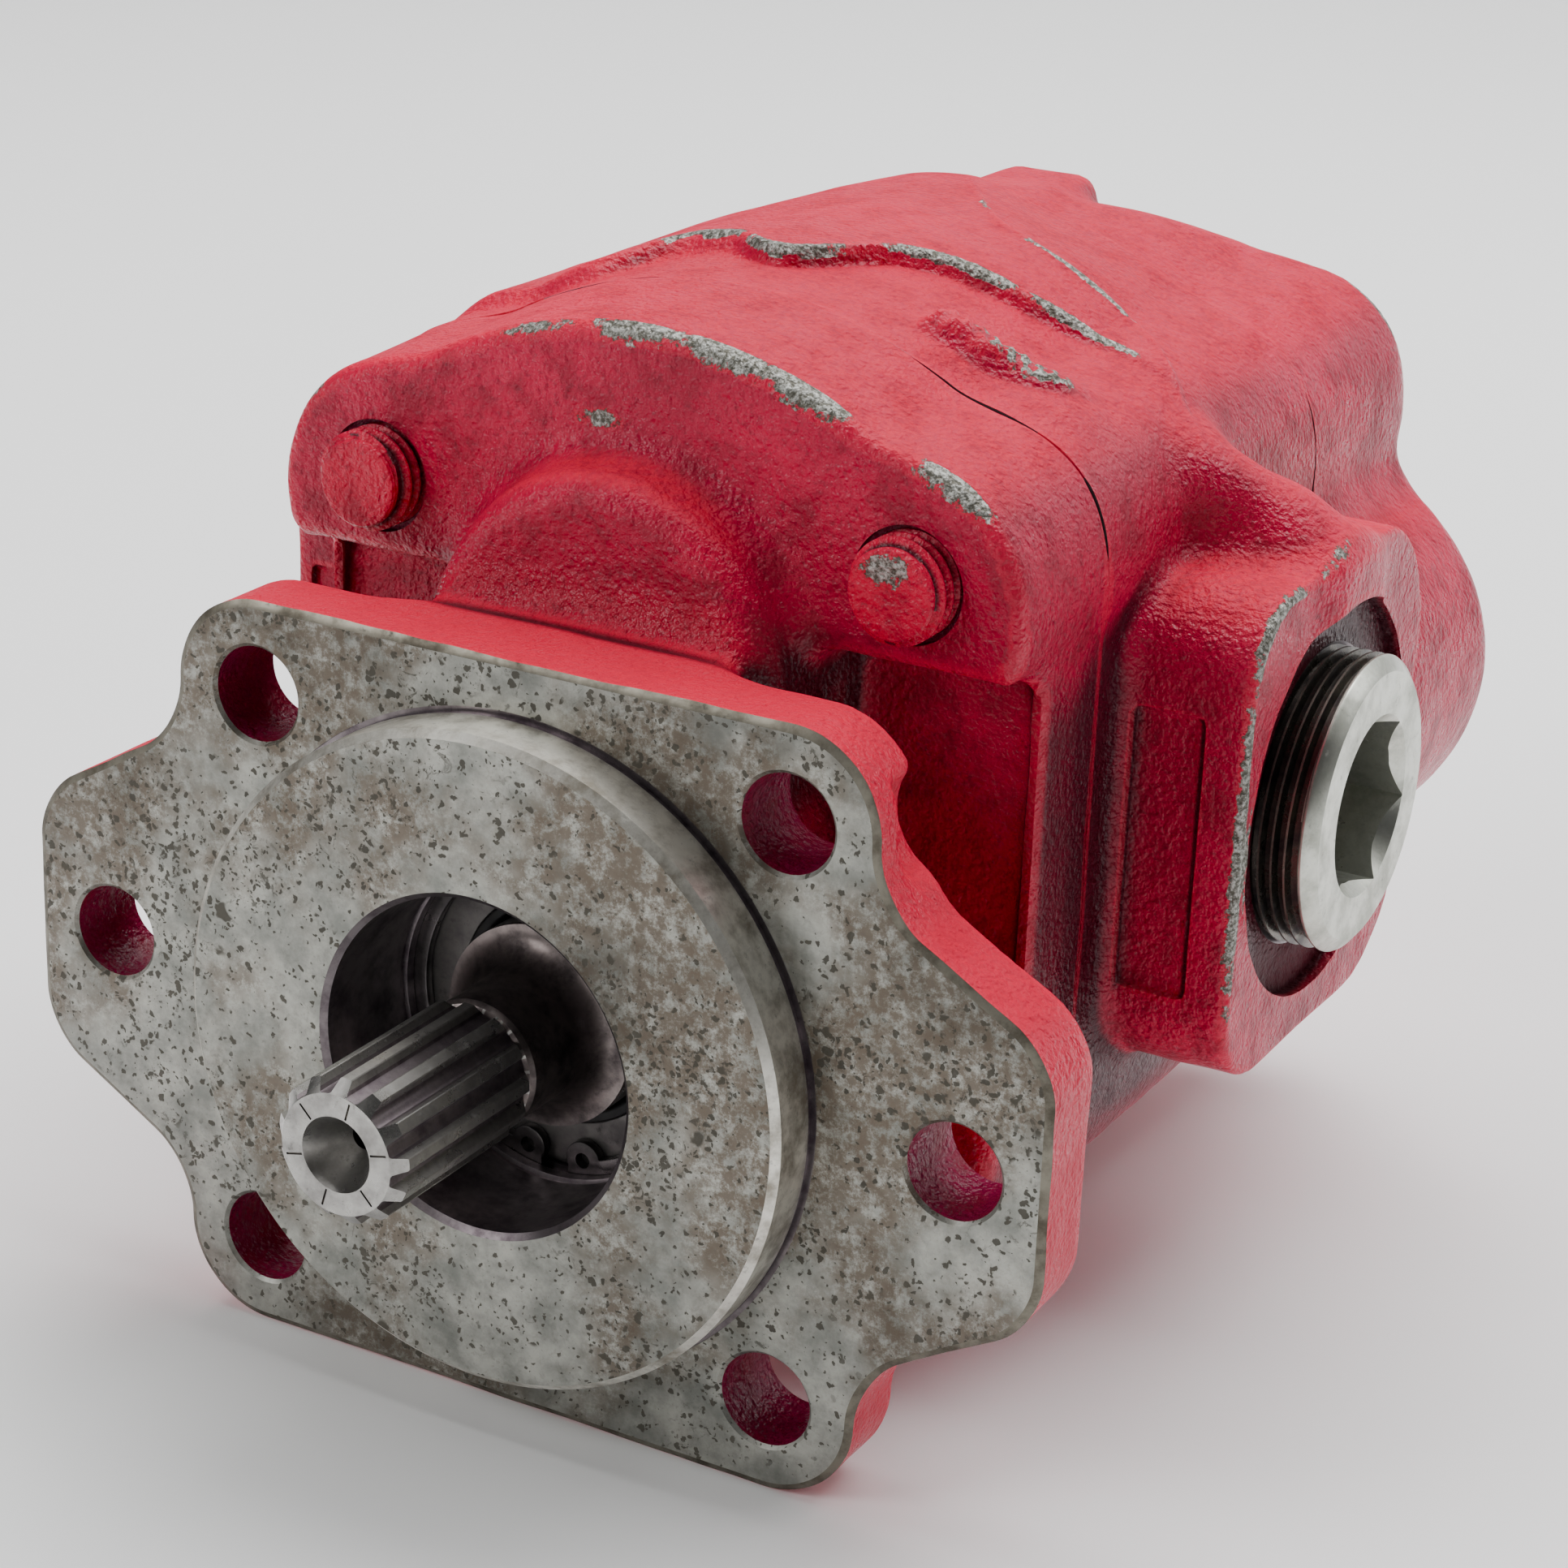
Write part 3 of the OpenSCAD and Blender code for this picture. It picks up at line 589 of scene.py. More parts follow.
class Graph:
    """A short way to write a material's nodes."""

    def __init__(self, name):
        self.material = bpy.data.materials.new(name)
        self.material.use_nodes = True
        self.tree = self.material.node_tree
        self.shader = self.tree.nodes["Principled BSDF"]
        self.place = self.node("ShaderNodeTexCoord").outputs["Object"]

    def node(self, kind, inputs=(), **settings):
        """New node with its settings, and with its inputs by name or number."""
        made = self.tree.nodes.new(kind)
        for key, value in settings.items():
            setattr(made, key, value)
        for key, value in dict(inputs).items():
            self.feed(made.inputs[key], value)
        return made

    def feed(self, socket, value):
        if isinstance(value, bpy.types.NodeSocket):
            self.tree.links.new(value, socket)
        elif isinstance(value, tuple) and socket.type == "RGBA":
            socket.default_value = (*value, 1)
        else:
            socket.default_value = value

    def stretch(self, *scale):
        return self.node("ShaderNodeMapping", {"Vector": self.place, "Scale": scale}).outputs["Vector"]

    def noise(self, size, detail=4, rough=0.55, where=None, distortion=0.0, output="Fac"):
        """Noise with features of a size in millimetres."""
        return self.node("ShaderNodeTexNoise", {
            "Vector": where or self.place, "Scale": 1 / (size * MM), "Detail": detail, "Roughness": rough,
            "Distortion": distortion}).outputs[output]

    def cells(self, size, where):
        """Distance from the nearest of scattered points, and that point's random colour."""
        return self.node("ShaderNodeTexVoronoi", {"Vector": where, "Scale": 1 / (size * MM)}).outputs

    def attribute(self, name):
        return self.node("ShaderNodeAttribute", attribute_name=name).outputs["Fac"]

    def math(self, operation, a, b):
        return self.node("ShaderNodeMath", {0: a, 1: b}, operation=operation).outputs[0]

    def times(self, a, b):
        return self.math("MULTIPLY", a, b)

    def plus(self, a, b):
        return self.math("ADD", a, b)

    def step(self, value, low, high, out_low=0.0, out_high=1.0):
        """Smooth step from low to high."""
        return self.node("ShaderNodeMapRange", {
            "Value": value, "From Min": low, "From Max": high, "To Min": out_low, "To Max": out_high,
        }, interpolation_type="SMOOTHSTEP").outputs["Result"]

    def mix(self, share, a, b, kind="RGBA"):
        return self.node("ShaderNodeMix", {"Factor": share, "A": a, "B": b}, data_type=kind).outputs["Result"]

    def blend(self, share, a, b):
        return self.mix(share, a, b, "FLOAT")

    def bump(self, height, distance, strength=1.0, below=None):
        """Bump of a height in millimetres."""
        inputs = {"Height": height, "Distance": distance * MM, "Strength": strength}
        if below:
            inputs["Normal"] = below
        return self.node("ShaderNodeBump", inputs).outputs["Normal"]

    def surface(self, color, roughness, metallic=0.0, normal=None, specular=0.5):
        inputs = {"Base Color": color, "Roughness": roughness, "Metallic": metallic,
                  "Specular IOR Level": specular}
        if normal:
            inputs["Normal"] = normal
        for key, value in inputs.items():
            self.feed(self.shader.inputs[key], value)
        return self.material


def red_paint(name="red_paint", bright=1.0, with_marks=True):
    """Semi-gloss red enamel on sand-cast iron, chipped to grey metal on its edges, with painted shade, sheen,
    glints and edge highlights in its colour.
    """
    g = Graph(name)
    broad, patch, fine = g.noise(45, 3), g.noise(7, 5), g.noise(1.1, 3, 0.6)
    red = g.mix(g.step(broad, 0.35, 0.68), (0.40 * bright, 0.0014, 0.036), (0.60 * bright, 0.0024, 0.054))
    red = g.mix(g.times(g.step(patch, 0.46, 0.68), 0.62), red, (0.21, 0.001, 0.017))
    pooled = 0.0
    if with_marks:
        pooled = g.step(g.attribute("hollow"), 0.10, 0.55)
        red = g.mix(g.times(pooled, 0.75), red, (0.76, 0.0022, 0.0500))
    grime = g.times(g.step(g.noise(3.2, 6, 0.7), 0.55, 0.76), g.step(g.noise(21, 3), 0.42, 0.66, 0.15, 0.75))
    red = g.mix(grime, red, (0.070, 0.003, 0.012))
    # Pale pink specks: chalked paint, and painted glints of the rough paint.
    chalk_and_glints = g.times(g.step(g.noise(0.7, 3, 0.8), 0.60, 0.78), g.step(patch, 0.35, 0.65, 0.10, 0.40))
    red = g.mix(chalk_and_glints, red, (0.58, 0.060, 0.110))
    red = g.mix(g.step(fine, 0.52, 0.70, 0.0, 0.45), red, (0.17, 0.001, 0.018))
    grain = g.plus(g.times(g.noise(1.4, 2, 0.5), 0.55), g.times(g.noise(0.8, 2, 0.5), 0.45))
    normal = g.bump(grain, 0.95, 1.0)
    rough = g.plus(g.step(patch, 0.3, 0.75, 0.24, 0.42), g.times(chalk_and_glints, 0.25))
    if not with_marks:
        return g.surface(red, rough, 0.0, normal, 0.3)
    # Faces that look up get rougher, with pale red specks in their colour: a painted sheen on the tops.
    level = g.step(g.attribute("level"), 0.55, 0.90)
    rough = g.plus(rough, g.times(level, 0.26))
    red = g.mix(g.times(level, g.step(fine, 0.3, 0.7, 0.25, 0.75)), red, (0.76, 0.0060, 0.0420))
    red = g.mix(g.times(g.attribute("fresh"), 0.7), red, (0.62, 0.0010, 0.0340))
    # Painted shade: the paint darkens in recesses and on the flanks.
    deep = g.step(g.attribute("deep"), 0.24, 0.74, 0.0, 0.92)
    red = g.mix(deep, red, (0.036, 0.0010, 0.0075))
    lumps = g.bump(g.noise(3.4, 4, 0.6), 0.9, g.times(pooled, 0.9), normal)
    ragged = g.noise(2.4, 6, 0.75)
    nick = g.noise(0.9, 3, 0.7)
    edge, worn, spot = g.attribute("edge"), g.attribute("worn"), g.attribute("spot")
    wear = g.times(g.step(edge, 0.10, 0.62), g.plus(g.times(worn, 1.2), 0.20))
    wear = g.plus(wear, g.times(spot, 0.8))
    limit = g.plus(g.times(ragged, 0.9), g.times(nick, 0.25))
    depth = g.math("SUBTRACT", wear, limit)
    bare = g.step(depth, -0.03, 0.03)
    iron = g.mix(g.step(g.noise(0.8, 4, 0.75), 0.40, 0.66), (0.085, 0.080, 0.062), (0.46, 0.46, 0.43))
    red = g.mix(g.times(g.step(depth, -0.13, -0.02), 0.5), red, (0.66, 0.004, 0.036))
    # Sharp convex edges are painted a brighter red: a painted highlight along the edges.
    red = g.mix(g.times(g.step(edge, 0.45, 1.0), 0.30), red, (0.84, 0.014, 0.060))
    color = g.mix(bare, red, iron)
    normal = g.bump(g.times(bare, -1.0), 0.12, 1.0, lumps)
    specular = g.blend(level, 0.30, 0.18)
    return g.surface(color, g.blend(bare, rough, 0.5), g.times(bare, 0.55), normal, specular)


def machined_iron(name="machined_iron"):
    """Bare machined cast iron with dark rust specks and oily stains."""
    g = Graph(name)
    broad, mid = g.noise(38, 4, 0.6), g.noise(9, 5, 0.65)
    steel = g.mix(g.step(mid, 0.30, 0.72), (0.19, 0.195, 0.175), (0.46, 0.455, 0.41))
    height = g.node("ShaderNodeSeparateXYZ", {0: g.place}).outputs["Z"]
    side = g.step(height, -0.030, 0.045, 0.0, 0.06)
    film = g.times(g.step(g.plus(broad, side), 0.44, 0.58), g.step(g.noise(2.6, 6, 0.8), 0.36, 0.56))
    steel = g.mix(g.times(film, 0.80), steel, (0.100, 0.066, 0.040))
    cloud = g.step(g.noise(1.0, 4, 0.75), 0.50, 0.70)
    steel = g.mix(g.times(cloud, 0.30), steel, (0.11, 0.105, 0.09))
    drift = g.noise(24, 3, 0.6)
    dense = g.step(drift, 0.44, 0.60)
    wobble = (0.0024, 0.0024, 0.0024)
    where = g.node("ShaderNodeVectorMath", {0: g.noise(1.5, 5, 0.5, output="Color"), 1: wobble, 2: g.place},
                   operation="MULTIPLY_ADD").outputs[0]
    specks = 0.0
    for size, reach, few in ((7.0, 0.20, 0.80), (3.2, 0.27, 0.60), (1.9, 0.30, 0.50), (1.1, 0.34, 0.38)):
        dots = g.cells(size, where)
        pick = g.node("ShaderNodeSeparateColor", {0: dots["Color"]})
        chosen = g.plus(pick.outputs[0], g.times(dense, 0.52))
        chosen = g.step(chosen, few + 0.30, few + 0.36)
        radius = g.times(g.plus(pick.outputs[1], 0.35), reach)
        inside = g.step(g.math("SUBTRACT", radius, dots["Distance"]), -0.02, 0.05)
        specks = g.math("MAXIMUM", specks, g.times(inside, chosen))
    smear = g.times(g.step(g.noise(2.2, 6, 0.75, distortion=0.8), 0.575, 0.63), dense)
    specks = g.math("MAXIMUM", specks, g.times(smear, 0.8))
    speck_color = g.mix(g.noise(3, 2), (0.026, 0.023, 0.016), (0.070, 0.060, 0.040))
    color = g.mix(g.times(specks, 0.90), steel, speck_color)
    metal = g.blend(specks, 0.70, 0.1)
    rough = g.blend(specks, g.step(mid, 0.3, 0.7, 0.34, 0.48), 0.72)
    normal = g.bump(g.times(specks, -1.0), 0.05, 0.7)
    normal = g.bump(g.noise(0.5, 2, where=g.stretch(1, 1, 0.25)), 0.02, 0.5, normal)
    return g.surface(color, rough, metal, normal)


def steel(name, light, dark, roughness, stain=0.4, stretch=(1, 1, 1), grain=0.35, metallic=0.95):
    """Worked steel with fine tool marks and darker oily stains."""
    g = Graph(name)
    lines = g.noise(grain, 2, 0.5, g.stretch(*stretch))
    blot = g.noise(6, 5, 0.65)
    color = g.mix(g.step(blot, 0.35, 0.72), light, dark)
    dirt = g.times(g.step(g.noise(1.8, 6, 0.75), 0.56, 0.72), stain)
    color = g.mix(dirt, color, tuple(0.18 * c for c in light))
    rough = g.plus(g.step(blot, 0.3, 0.7, roughness - 0.06, roughness + 0.08),
                   g.times(dirt, 0.3))
    return g.surface(color, rough, g.blend(dirt, metallic, metallic * 0.4), g.bump(lines, 0.02, 0.5))


def rubber(name):
    """Matt black rubber."""
    g = Graph(name)
    color = g.mix(g.step(g.noise(3, 4), 0.4, 0.7), (0.012, 0.012, 0.013), (0.035, 0.033, 0.03))
    rough = g.step(g.noise(1.5, 3), 0.3, 0.7, 0.45, 0.65)
    return g.surface(color, rough, 0.0, g.bump(g.noise(0.4, 2), 0.02, 0.4))


RED = red_paint()
BOLT_RED = red_paint("red_bolt_paint", 1.25)
# Darker red for the inside of the holes and the recesses round the tie bolts: painted shade there.
HOLE_SHADE_RED = red_paint("hole_shade_red_paint", 0.45, False)
IRON = machined_iron()
DARK_IRON = steel("oily_iron_and_shade", (0.27, 0.235, 0.245), (0.10, 0.078, 0.090), 0.34, 0.5)
RIM_IRON = steel("rim_iron", (0.20, 0.185, 0.15), (0.07, 0.06, 0.045), 0.42, 0.55)
PILOT_STEEL = steel("pilot_steel", (0.78, 0.76, 0.69), (0.26, 0.235, 0.19), 0.34, 0.6, (1, 7, 1), 1.2, 0.8)
SHAFT = steel("shaft_steel", (0.42, 0.41, 0.39), (0.24, 0.23, 0.22), 0.30, 0.55, (1, 0.12, 1))
ZINC = steel("zinc_plate", (0.60, 0.61, 0.55), (0.36, 0.37, 0.32), 0.33, 0.45)
CREST = steel("thread_crest", (0.34, 0.32, 0.27), (0.13, 0.11, 0.10), 0.34, 0.6)
OIL_AND_SHADE = steel("oily_thread_and_shade", (0.13, 0.12, 0.10), (0.035, 0.030, 0.034), 0.28, 0.6)
BRONZE = steel("bearing_bronze", (0.55, 0.36, 0.17), (0.40, 0.25, 0.12), 0.30, 0.3)
PLATE = steel("plate_bronze", (0.60, 0.42, 0.22), (0.47, 0.31, 0.16), 0.28, 0.25)
SEAL_STEEL = steel("seal_steel", (0.20, 0.19, 0.18), (0.13, 0.12, 0.12), 0.48, 0.5)
RING_STEEL = steel("ring_steel", (0.12, 0.11, 0.11), (0.06, 0.055, 0.055), 0.32, 0.3)
PIN_STEEL = steel("pin_steel", (0.55, 0.55, 0.54), (0.45, 0.45, 0.44), 0.22, 0.15)
RUBBER = rubber("seal_rubber")
# Dark, patchy steel for the polished flare: painted reflections of a dark surrounding.
FLARE = steel("polished_flare_painted_reflection", (0.25, 0.21, 0.20), (0.050, 0.040, 0.042), 0.36, 0.6, (1, 0.12, 1), 1.6)

CAST = [RED, IRON, DARK_IRON, RIM_IRON, PILOT_STEEL, HOLE_SHADE_RED]
PAINTED, MACHINED, SHADED_OILY_FACE, RIM, PILOT, HOLE = range(6)
SHAFT_LOOKS = [SHAFT, OIL_AND_SHADE, FLARE, DARK_IRON]
PLUG_LOOKS = [ZINC, OIL_AND_SHADE, CREST]
SEAM_GAP = 0.14

# ------------------------------------------------------------------ castings


def with_index(ob, index):
    """Gives all faces of a cutter the material that its cut shows."""
    ob.data.polygons.foreach_set("material_index", [index] * len(ob.data.polygons))
    return ob


def drill(points, radius, y0, y1, index):
    """Cutters for holes along Y."""
    return [with_index(turned("drill", [(radius, y0), (radius, y1)], CAST, (x, 0, z), segments=72), index)
            for x, z in points]


def countersink(points, radius, y, lip):
    """Cutters for a bright chamfer where holes start at y."""
    profile = [(radius + lip, y - 6), (radius + lip, y), (radius, y + lip), (radius - 1, y + lip)]
    return [with_index(turned("lip", profile, CAST, (x, 0, z), segments=72), MACHINED) for x, z in points]


def seam_slab(y0, y1):
    """Cutter that ends a casting at a seam."""
    square = [(sx * CUT_REACH, sz * CUT_REACH) for sx, sz in ((-1, -1), (1, -1), (1, 1), (-1, 1))]
    return with_index(prism("slab", square, y0, y1, CAST), PAINTED)


def flange_bevel(steps=540):
    """Cutter that breaks the sharp edge round the machined flange face."""
    profile = [(-1.1, 0), (4, 2.8), (4, -4), (-1.1, -4)]
    angle = np.linspace(0, 2 * math.pi, steps, endpoint=False)
    dx, dz = np.cos(angle), np.sin(angle)
    near, far = np.full(steps, 40.0), np.full(steps, 100.0)
    for _ in range(40):
        mid = (near + far) / 2
        inside = flange_2d(mid * dx, mid * dz) < 0
        near, far = np.where(inside, mid, near), np.where(inside, far, mid)
    x, z, h = near * dx, near * dz, 0.05
    nx, nz = flange_2d(x + h, z) - flange_2d(x - h, z), flange_2d(x, z + h) - flange_2d(x, z - h)
    size = np.hypot(nx, nz)
    verts = [(x[k] + out * nx[k] / size[k], y, z[k] + out * nz[k] / size[k])
             for k in range(steps) for out, y in profile]
    faces = skin(steps, len(profile), True, True)
    return with_index(mend(new_object("bevel", verts, faces, CAST)), RIM)


def shine_pilot(ob):
    """Gives the side and the chamfer of the pilot the polished look."""
    count = len(ob.data.polygons)
    centre, normal, index = np.zeros(count * 3), np.zeros(count * 3), np.zeros(count, np.int32)
    ob.data.polygons.foreach_get("center", centre)
    ob.data.polygons.foreach_get("normal", normal)
    ob.data.polygons.foreach_get("material_index", index)
    centre, normal = centre.reshape(-1, 3) / MM, normal.reshape(-1, 3)
    r = np.hypot(centre[:, 0], centre[:, 2])
    side = (np.abs(r - PILOT_R + 0.6) < 1) & (centre[:, 1] < -0.1) & (normal[:, 1] > -0.9)
    index[side & (index == MACHINED)] = PILOT
    ob.data.polygons.foreach_set("material_index", index)


def seam_groove(y, centre, radius, start, end, half_w, steps=24):
    """Cutter of a dark gap along a seam, over part of an arc, which narrows at both its ends."""
    verts = []
    for t in np.linspace(0, 1, steps):
        a = math.radians(start + (end - start) * t)
        w = half_w * (0.1 + 0.9 * min(1, 6 * t, 6 * (1 - t)))
        for out, dy in ((-1.9, -w), (6, -w), (6, w), (-1.9, w)):
            r = radius + out
            verts.append((centre[0] + r * math.cos(a), y + dy, centre[1] + r * math.sin(a)))
    # Its faces take the dark oily iron, painted shade in the gap.
    return with_index(mend(new_object("groove", verts, skin(steps, 4, False, True), CAST)), SHADED_OILY_FACE)


EAR = (TIE, MID_Z + TIE)
ARCH = (0, MID_Z)


def seam1_grooves():
    """Open stretches of the seam between front cover and housing."""
    return [seam_groove(SEAM1, ARCH, ARCH_R, 94, 116, 0.70),
            seam_groove(SEAM1, ARCH, ARCH_R, 49, 68, 0.26),
            seam_groove(SEAM1, EAR, EAR_R, -2, 44, 0.28)]


def seam2_grooves():
    """Open stretches of the seam between housing and rear cover."""
    return [seam_groove(SEAM2, ARCH, ARCH_R, 50, 69, 0.40),
            seam_groove(SEAM2, EAR, EAR_R, -32, 34, 0.45)]


def build_front_cover():
    """Cast cover with a machined face, pilot, bore, bolt holes and the sockets of the bearings."""
    low, high = (-91, -14.9, -63), (91, SEAM1 + 6, 106)
    ob = casting("front_cover_casting", cover_field, low, high, 11)
    pilot_foot, bevel = 0.35, 1.15
    facing = turned("facing", [
        (0.01, -30), (CUT_REACH, -30), (CUT_REACH, 0), (PILOT_R + 0.02, 0), (PILOT_R, -0.02),
        (PILOT_R, bevel - PILOT_H), (PILOT_R - bevel, -PILOT_H), (0.01, -PILOT_H)], CAST, segments=256)
    # The relief groove round the pilot's foot is cut in the dark iron: a dark line there, painted shade where
    # pilot and flange meet.
    relief = turned("relief", [
        (PILOT_R - pilot_foot, -0.9), (PILOT_R + 0.8, -0.9), (PILOT_R + 0.8, pilot_foot),
        (PILOT_R - pilot_foot, pilot_foot)], CAST, segments=256, closed=True)
    bore = turned("bore", [
        (0.01, -40), (SEAL_R + 0.9, -40), (SEAL_R + 0.9, -PILOT_H), (SEAL_R, 0.9 - PILOT_H), (SEAL_R, 9.6),
        (SEAL_R + 0.7, 9.8), (SEAL_R + 0.7, 11.2), (SEAL_R, 11.4), (SEAL_R, ring_low.y - 0.1),
        (SEAL_R + 1.3, ring_low.y - 0.1), (SEAL_R + 1.3, SEAL_Y), (SEAL_R, SEAL_Y), (SEAL_R, seal_high.y),
        (JOURNAL_R + 1, seal_high.y), (JOURNAL_R + 1, bush_low.y), (BUSH_R, bush_low.y), (BUSH_R, SEAM1 + 9),
        (0.01, SEAM1 + 9)], CAST)
    driven = turned("driven", [(BUSH_R, bush_low.y), (BUSH_R, SEAM1 + 9)], CAST, (0, 0, CENTRE), segments=96)
    combine(ob, [with_index(facing, MACHINED), seam_slab(SEAM1 - SEAM_GAP, SEAM1 + 20)])
    combine(ob, [with_index(relief, SHADED_OILY_FACE), flange_bevel()])
    combine(ob, [with_index(bore, SHADED_OILY_FACE), with_index(driven, SHADED_OILY_FACE)])
    combine(ob, drill(BOLT_HOLES, BOLT_HOLE_R, -3, 20, HOLE))
    combine(ob, countersink(BOLT_HOLES, BOLT_HOLE_R, 0, 0.55))
    combine(ob, drill(TIES, TIE_R + 0.9, COVER_Y - 6, COVER_Y + 1.6, HOLE))
    combine(ob, drill(TIES, TIE_R + 0.1, COVER_Y - 6, SEAM1 + 6, HOLE))
    combine(ob, seam1_grooves())
    shine_pilot(ob)

    def edges(x, y, z):
        return np.maximum(cover_field(x, y, z), np.maximum(-y, y - SEAM1))

    top = COVER_Y + 1.7
    worn = [
        ((-20, top, 100), (12, 2.4, 6), 0.44), ((0, top, 101), (11, 2.4, 6), 0.54),
        ((15, top, 100), (10, 2.4, 6), 0.60), ((28, top + 0.8, 96.5), (8, 3.4, 6), 0.72),
        ((53, top, 88), (9, 2.8, 8), 0.58), ((-58, top, 84), (6, 2.6, 8), 0.34),
        ((0, 2, 0), (120, 5, 120), 0.20),
    ]
    spots = [
        ((-6, 30.5, 86.5), (7.5, 5, 2.4), 0.95), ((24, 46, 98), (1.2, 12, 3), 0.44),
        ((32, 43, 96), (14, 7, 6), 0.50), ((-62, 37, 50), (1.2, 3, 3), 0.6),
        ((46, 31, 80), (4, 2, 3), 0.35),
    ]
    mark_wear(ob, edges, worn, spots)
    return finish_piece(ob, "casing", ["front_cover"])


def port_cutters(side):
    """Cutters of the spot face and of the threaded hole on one side."""
    floor = PORT_X - PORT_SPOT_DEPTH
    spot = turned("spot", [(PORT_SPOT_R, floor), (PORT_SPOT_R, PORT_X + 5)], CAST, segments=160)
    hole = thread("port_thread", PORT_R - 0.02, 1.25, PORT_PITCH, -29, -1.0,
                  ([(15, -52), (15, -32), (PORT_R - 1.25, -30)], [(PORT_R + 0.5, 0), (PORT_R + 0.5, 0.5)]),
                  CAST, segments=120)
    return (with_index(place(spot, -90 * side, "Z", (0, PORT_Y, MID_Z)), PAINTED),
            with_index(place(hole, -90 * side, "Z", (side * floor, PORT_Y, MID_Z)), SHADED_OILY_FACE))


def lobes_2d(r, steps=64):
    """Outline of the twin gear chamber."""
    tilt = math.asin(min(1, MID_Z / r))
    spans = ((CENTRE, -tilt, math.pi + tilt), (0, math.pi - tilt, 2 * math.pi + tilt))
    upper, lower = [[(r * math.cos(a), z + r * math.sin(a)) for a in np.linspace(start, end, steps)]
                    for z, start, end in spans]
    return upper + lower[1:-1]


def build_housing():
    """Cast housing with the gear chamber and a port on each flank."""
    low, high = (-88, SEAM1 - 6, -56), (88, SEAM2 + 6, 109)
    ob = casting("gear_housing_casting", housing_field, low, high, 23, ((-60, 62), (60, 126), (84, 109)))
    chamber = prism("chamber", lobes_2d(CHAMBER_R), SEAM1 - 25, SEAM2 + 25, CAST)
    combine(ob, [seam_slab(SEAM1 - 20, SEAM1 + SEAM_GAP), seam_slab(SEAM2 - SEAM_GAP, SEAM2 + 20),
                 with_index(chamber, SHADED_OILY_FACE)])
    for side in (-1, 1):
        for cutter in port_cutters(side):
            combine(ob, [cutter])
    combine(ob, seam1_grooves() + seam2_grooves())

    def edges(x, y, z):
        cut = np.maximum(SEAM1 - y, y - SEAM2)
        hole = PORT_SPOT_R - np.hypot(y - PORT_Y, z - MID_Z)
        hole = np.where(np.abs(x) > PORT_X - PORT_SPOT_DEPTH - 2, hole, -9)
        return np.maximum(np.maximum(housing_field(x, y, z), cut), hole)

    worn = [
        ((PORT_X, 66.4, 26), (1.8, 5, 34), 0.52), ((PORT_X, 75, 60), (1.8, 14, 10), 0.52),
        ((PORT_X, 98, 65), (1.8, 14, 5), 0.34), ((18, 93, 103), (20, 8, 6), 0.64),
        ((38, 100, 94), (13, 7, 8), 0.64), ((0, 74, 105), (10, 12, 6), 0.62),
        ((-18, 86, 103), (16, 9, 8), 0.64), ((38, 73, 93), (14, 5, 8), 0.62),
        ((34, 113, 96), (24, 3, 8), 0.72), ((10, 122, 102), (12, 9, 5), 0.42),
    ]
    spots = [
        ((55, SEAM1 + 2, 84), (3.5, 3, 4), 0.62), ((26, SEAM1 + 2, 98.5), (3.2, 1.2, 3), 0.66),
        ((16, 97, 103), (4, 4, 3), 0.60), ((34, 103, 96), (5, 4, 4), 0.60),
        ((48, 126, 88), (2.6, 2.2, 3), 0.62), ((70, 94, 74), (2.4, 3, 2.4), 0.64),
        ((77, 97, 70), (1.6, 3, 2.2), 0.62), ((82, 98, 66), (2.6, 2, 1.6), 0.60),
    ]
    mark_wear(ob, edges, worn, spots)
    return finish_piece(ob, "casing", ["gear_housing"])


def build_rear_cover():
    """Cast cover with counterbores for the heads of the tie bolts."""
    low, high = (-87, SEAM2 - 6, -56), (87, REAR_Y + 6, 109)
    ob = casting("rear_cover_casting", rear_field, low, high, 37)
    profile = [(BUSH_R, SEAM2 - 9), (BUSH_R, SEAM2 + 30)]
    bushes = [turned("bush", profile, CAST, (0, 0, z)) for z in (0, CENTRE)]
    combine(ob, [seam_slab(SEAM2 - 20, SEAM2 + SEAM_GAP)] + [with_index(b, SHADED_OILY_FACE) for b in bushes])
    combine(ob, drill(TIES, 16, REAR_Y - 4, REAR_Y + 20, PAINTED))
    combine(ob, drill(TIES, TIE_R + 0.5, SEAM2 - 9, REAR_Y + 9, SHADED_OILY_FACE))
    combine(ob, seam2_grooves())

    def edges(x, y, z):
        return np.maximum(rear_field(x, y, z), SEAM2 - y)

    worn = [
        ((60, REAR_Y, 86), (9, 7, 9), 0.62), ((83, REAR_Y, MID_Z), (6, 8, 30), 0.22),
        ((-60, REAR_Y, 84), (9, 7, 9), 0.40), ((0, REAR_Y, 95), (30, 8, 8), 0.30),
        ((0, REAR_Y, -45), (60, 8, 9), 0.30),
    ]
    spots = [
        ((59, REAR_Y - 1, 86), (5, 3, 5), 0.8),
    ]
    mark_wear(ob, edges, worn, spots)
    return finish_piece(ob, "casing", ["rear_cover"])


# ------------------------------------------------------------------ fasteners and plug


def polar(points, turn=0.0):
    """Flat points of (radius, degrees), turned by some degrees."""
    return [(r * math.cos(math.radians(a + turn)), r * math.sin(math.radians(a + turn))) for r, a in points]


def hexagon(flats, turn):
    return polar([(flats / math.sqrt(3), 60 * k) for k in range(6)], turn)


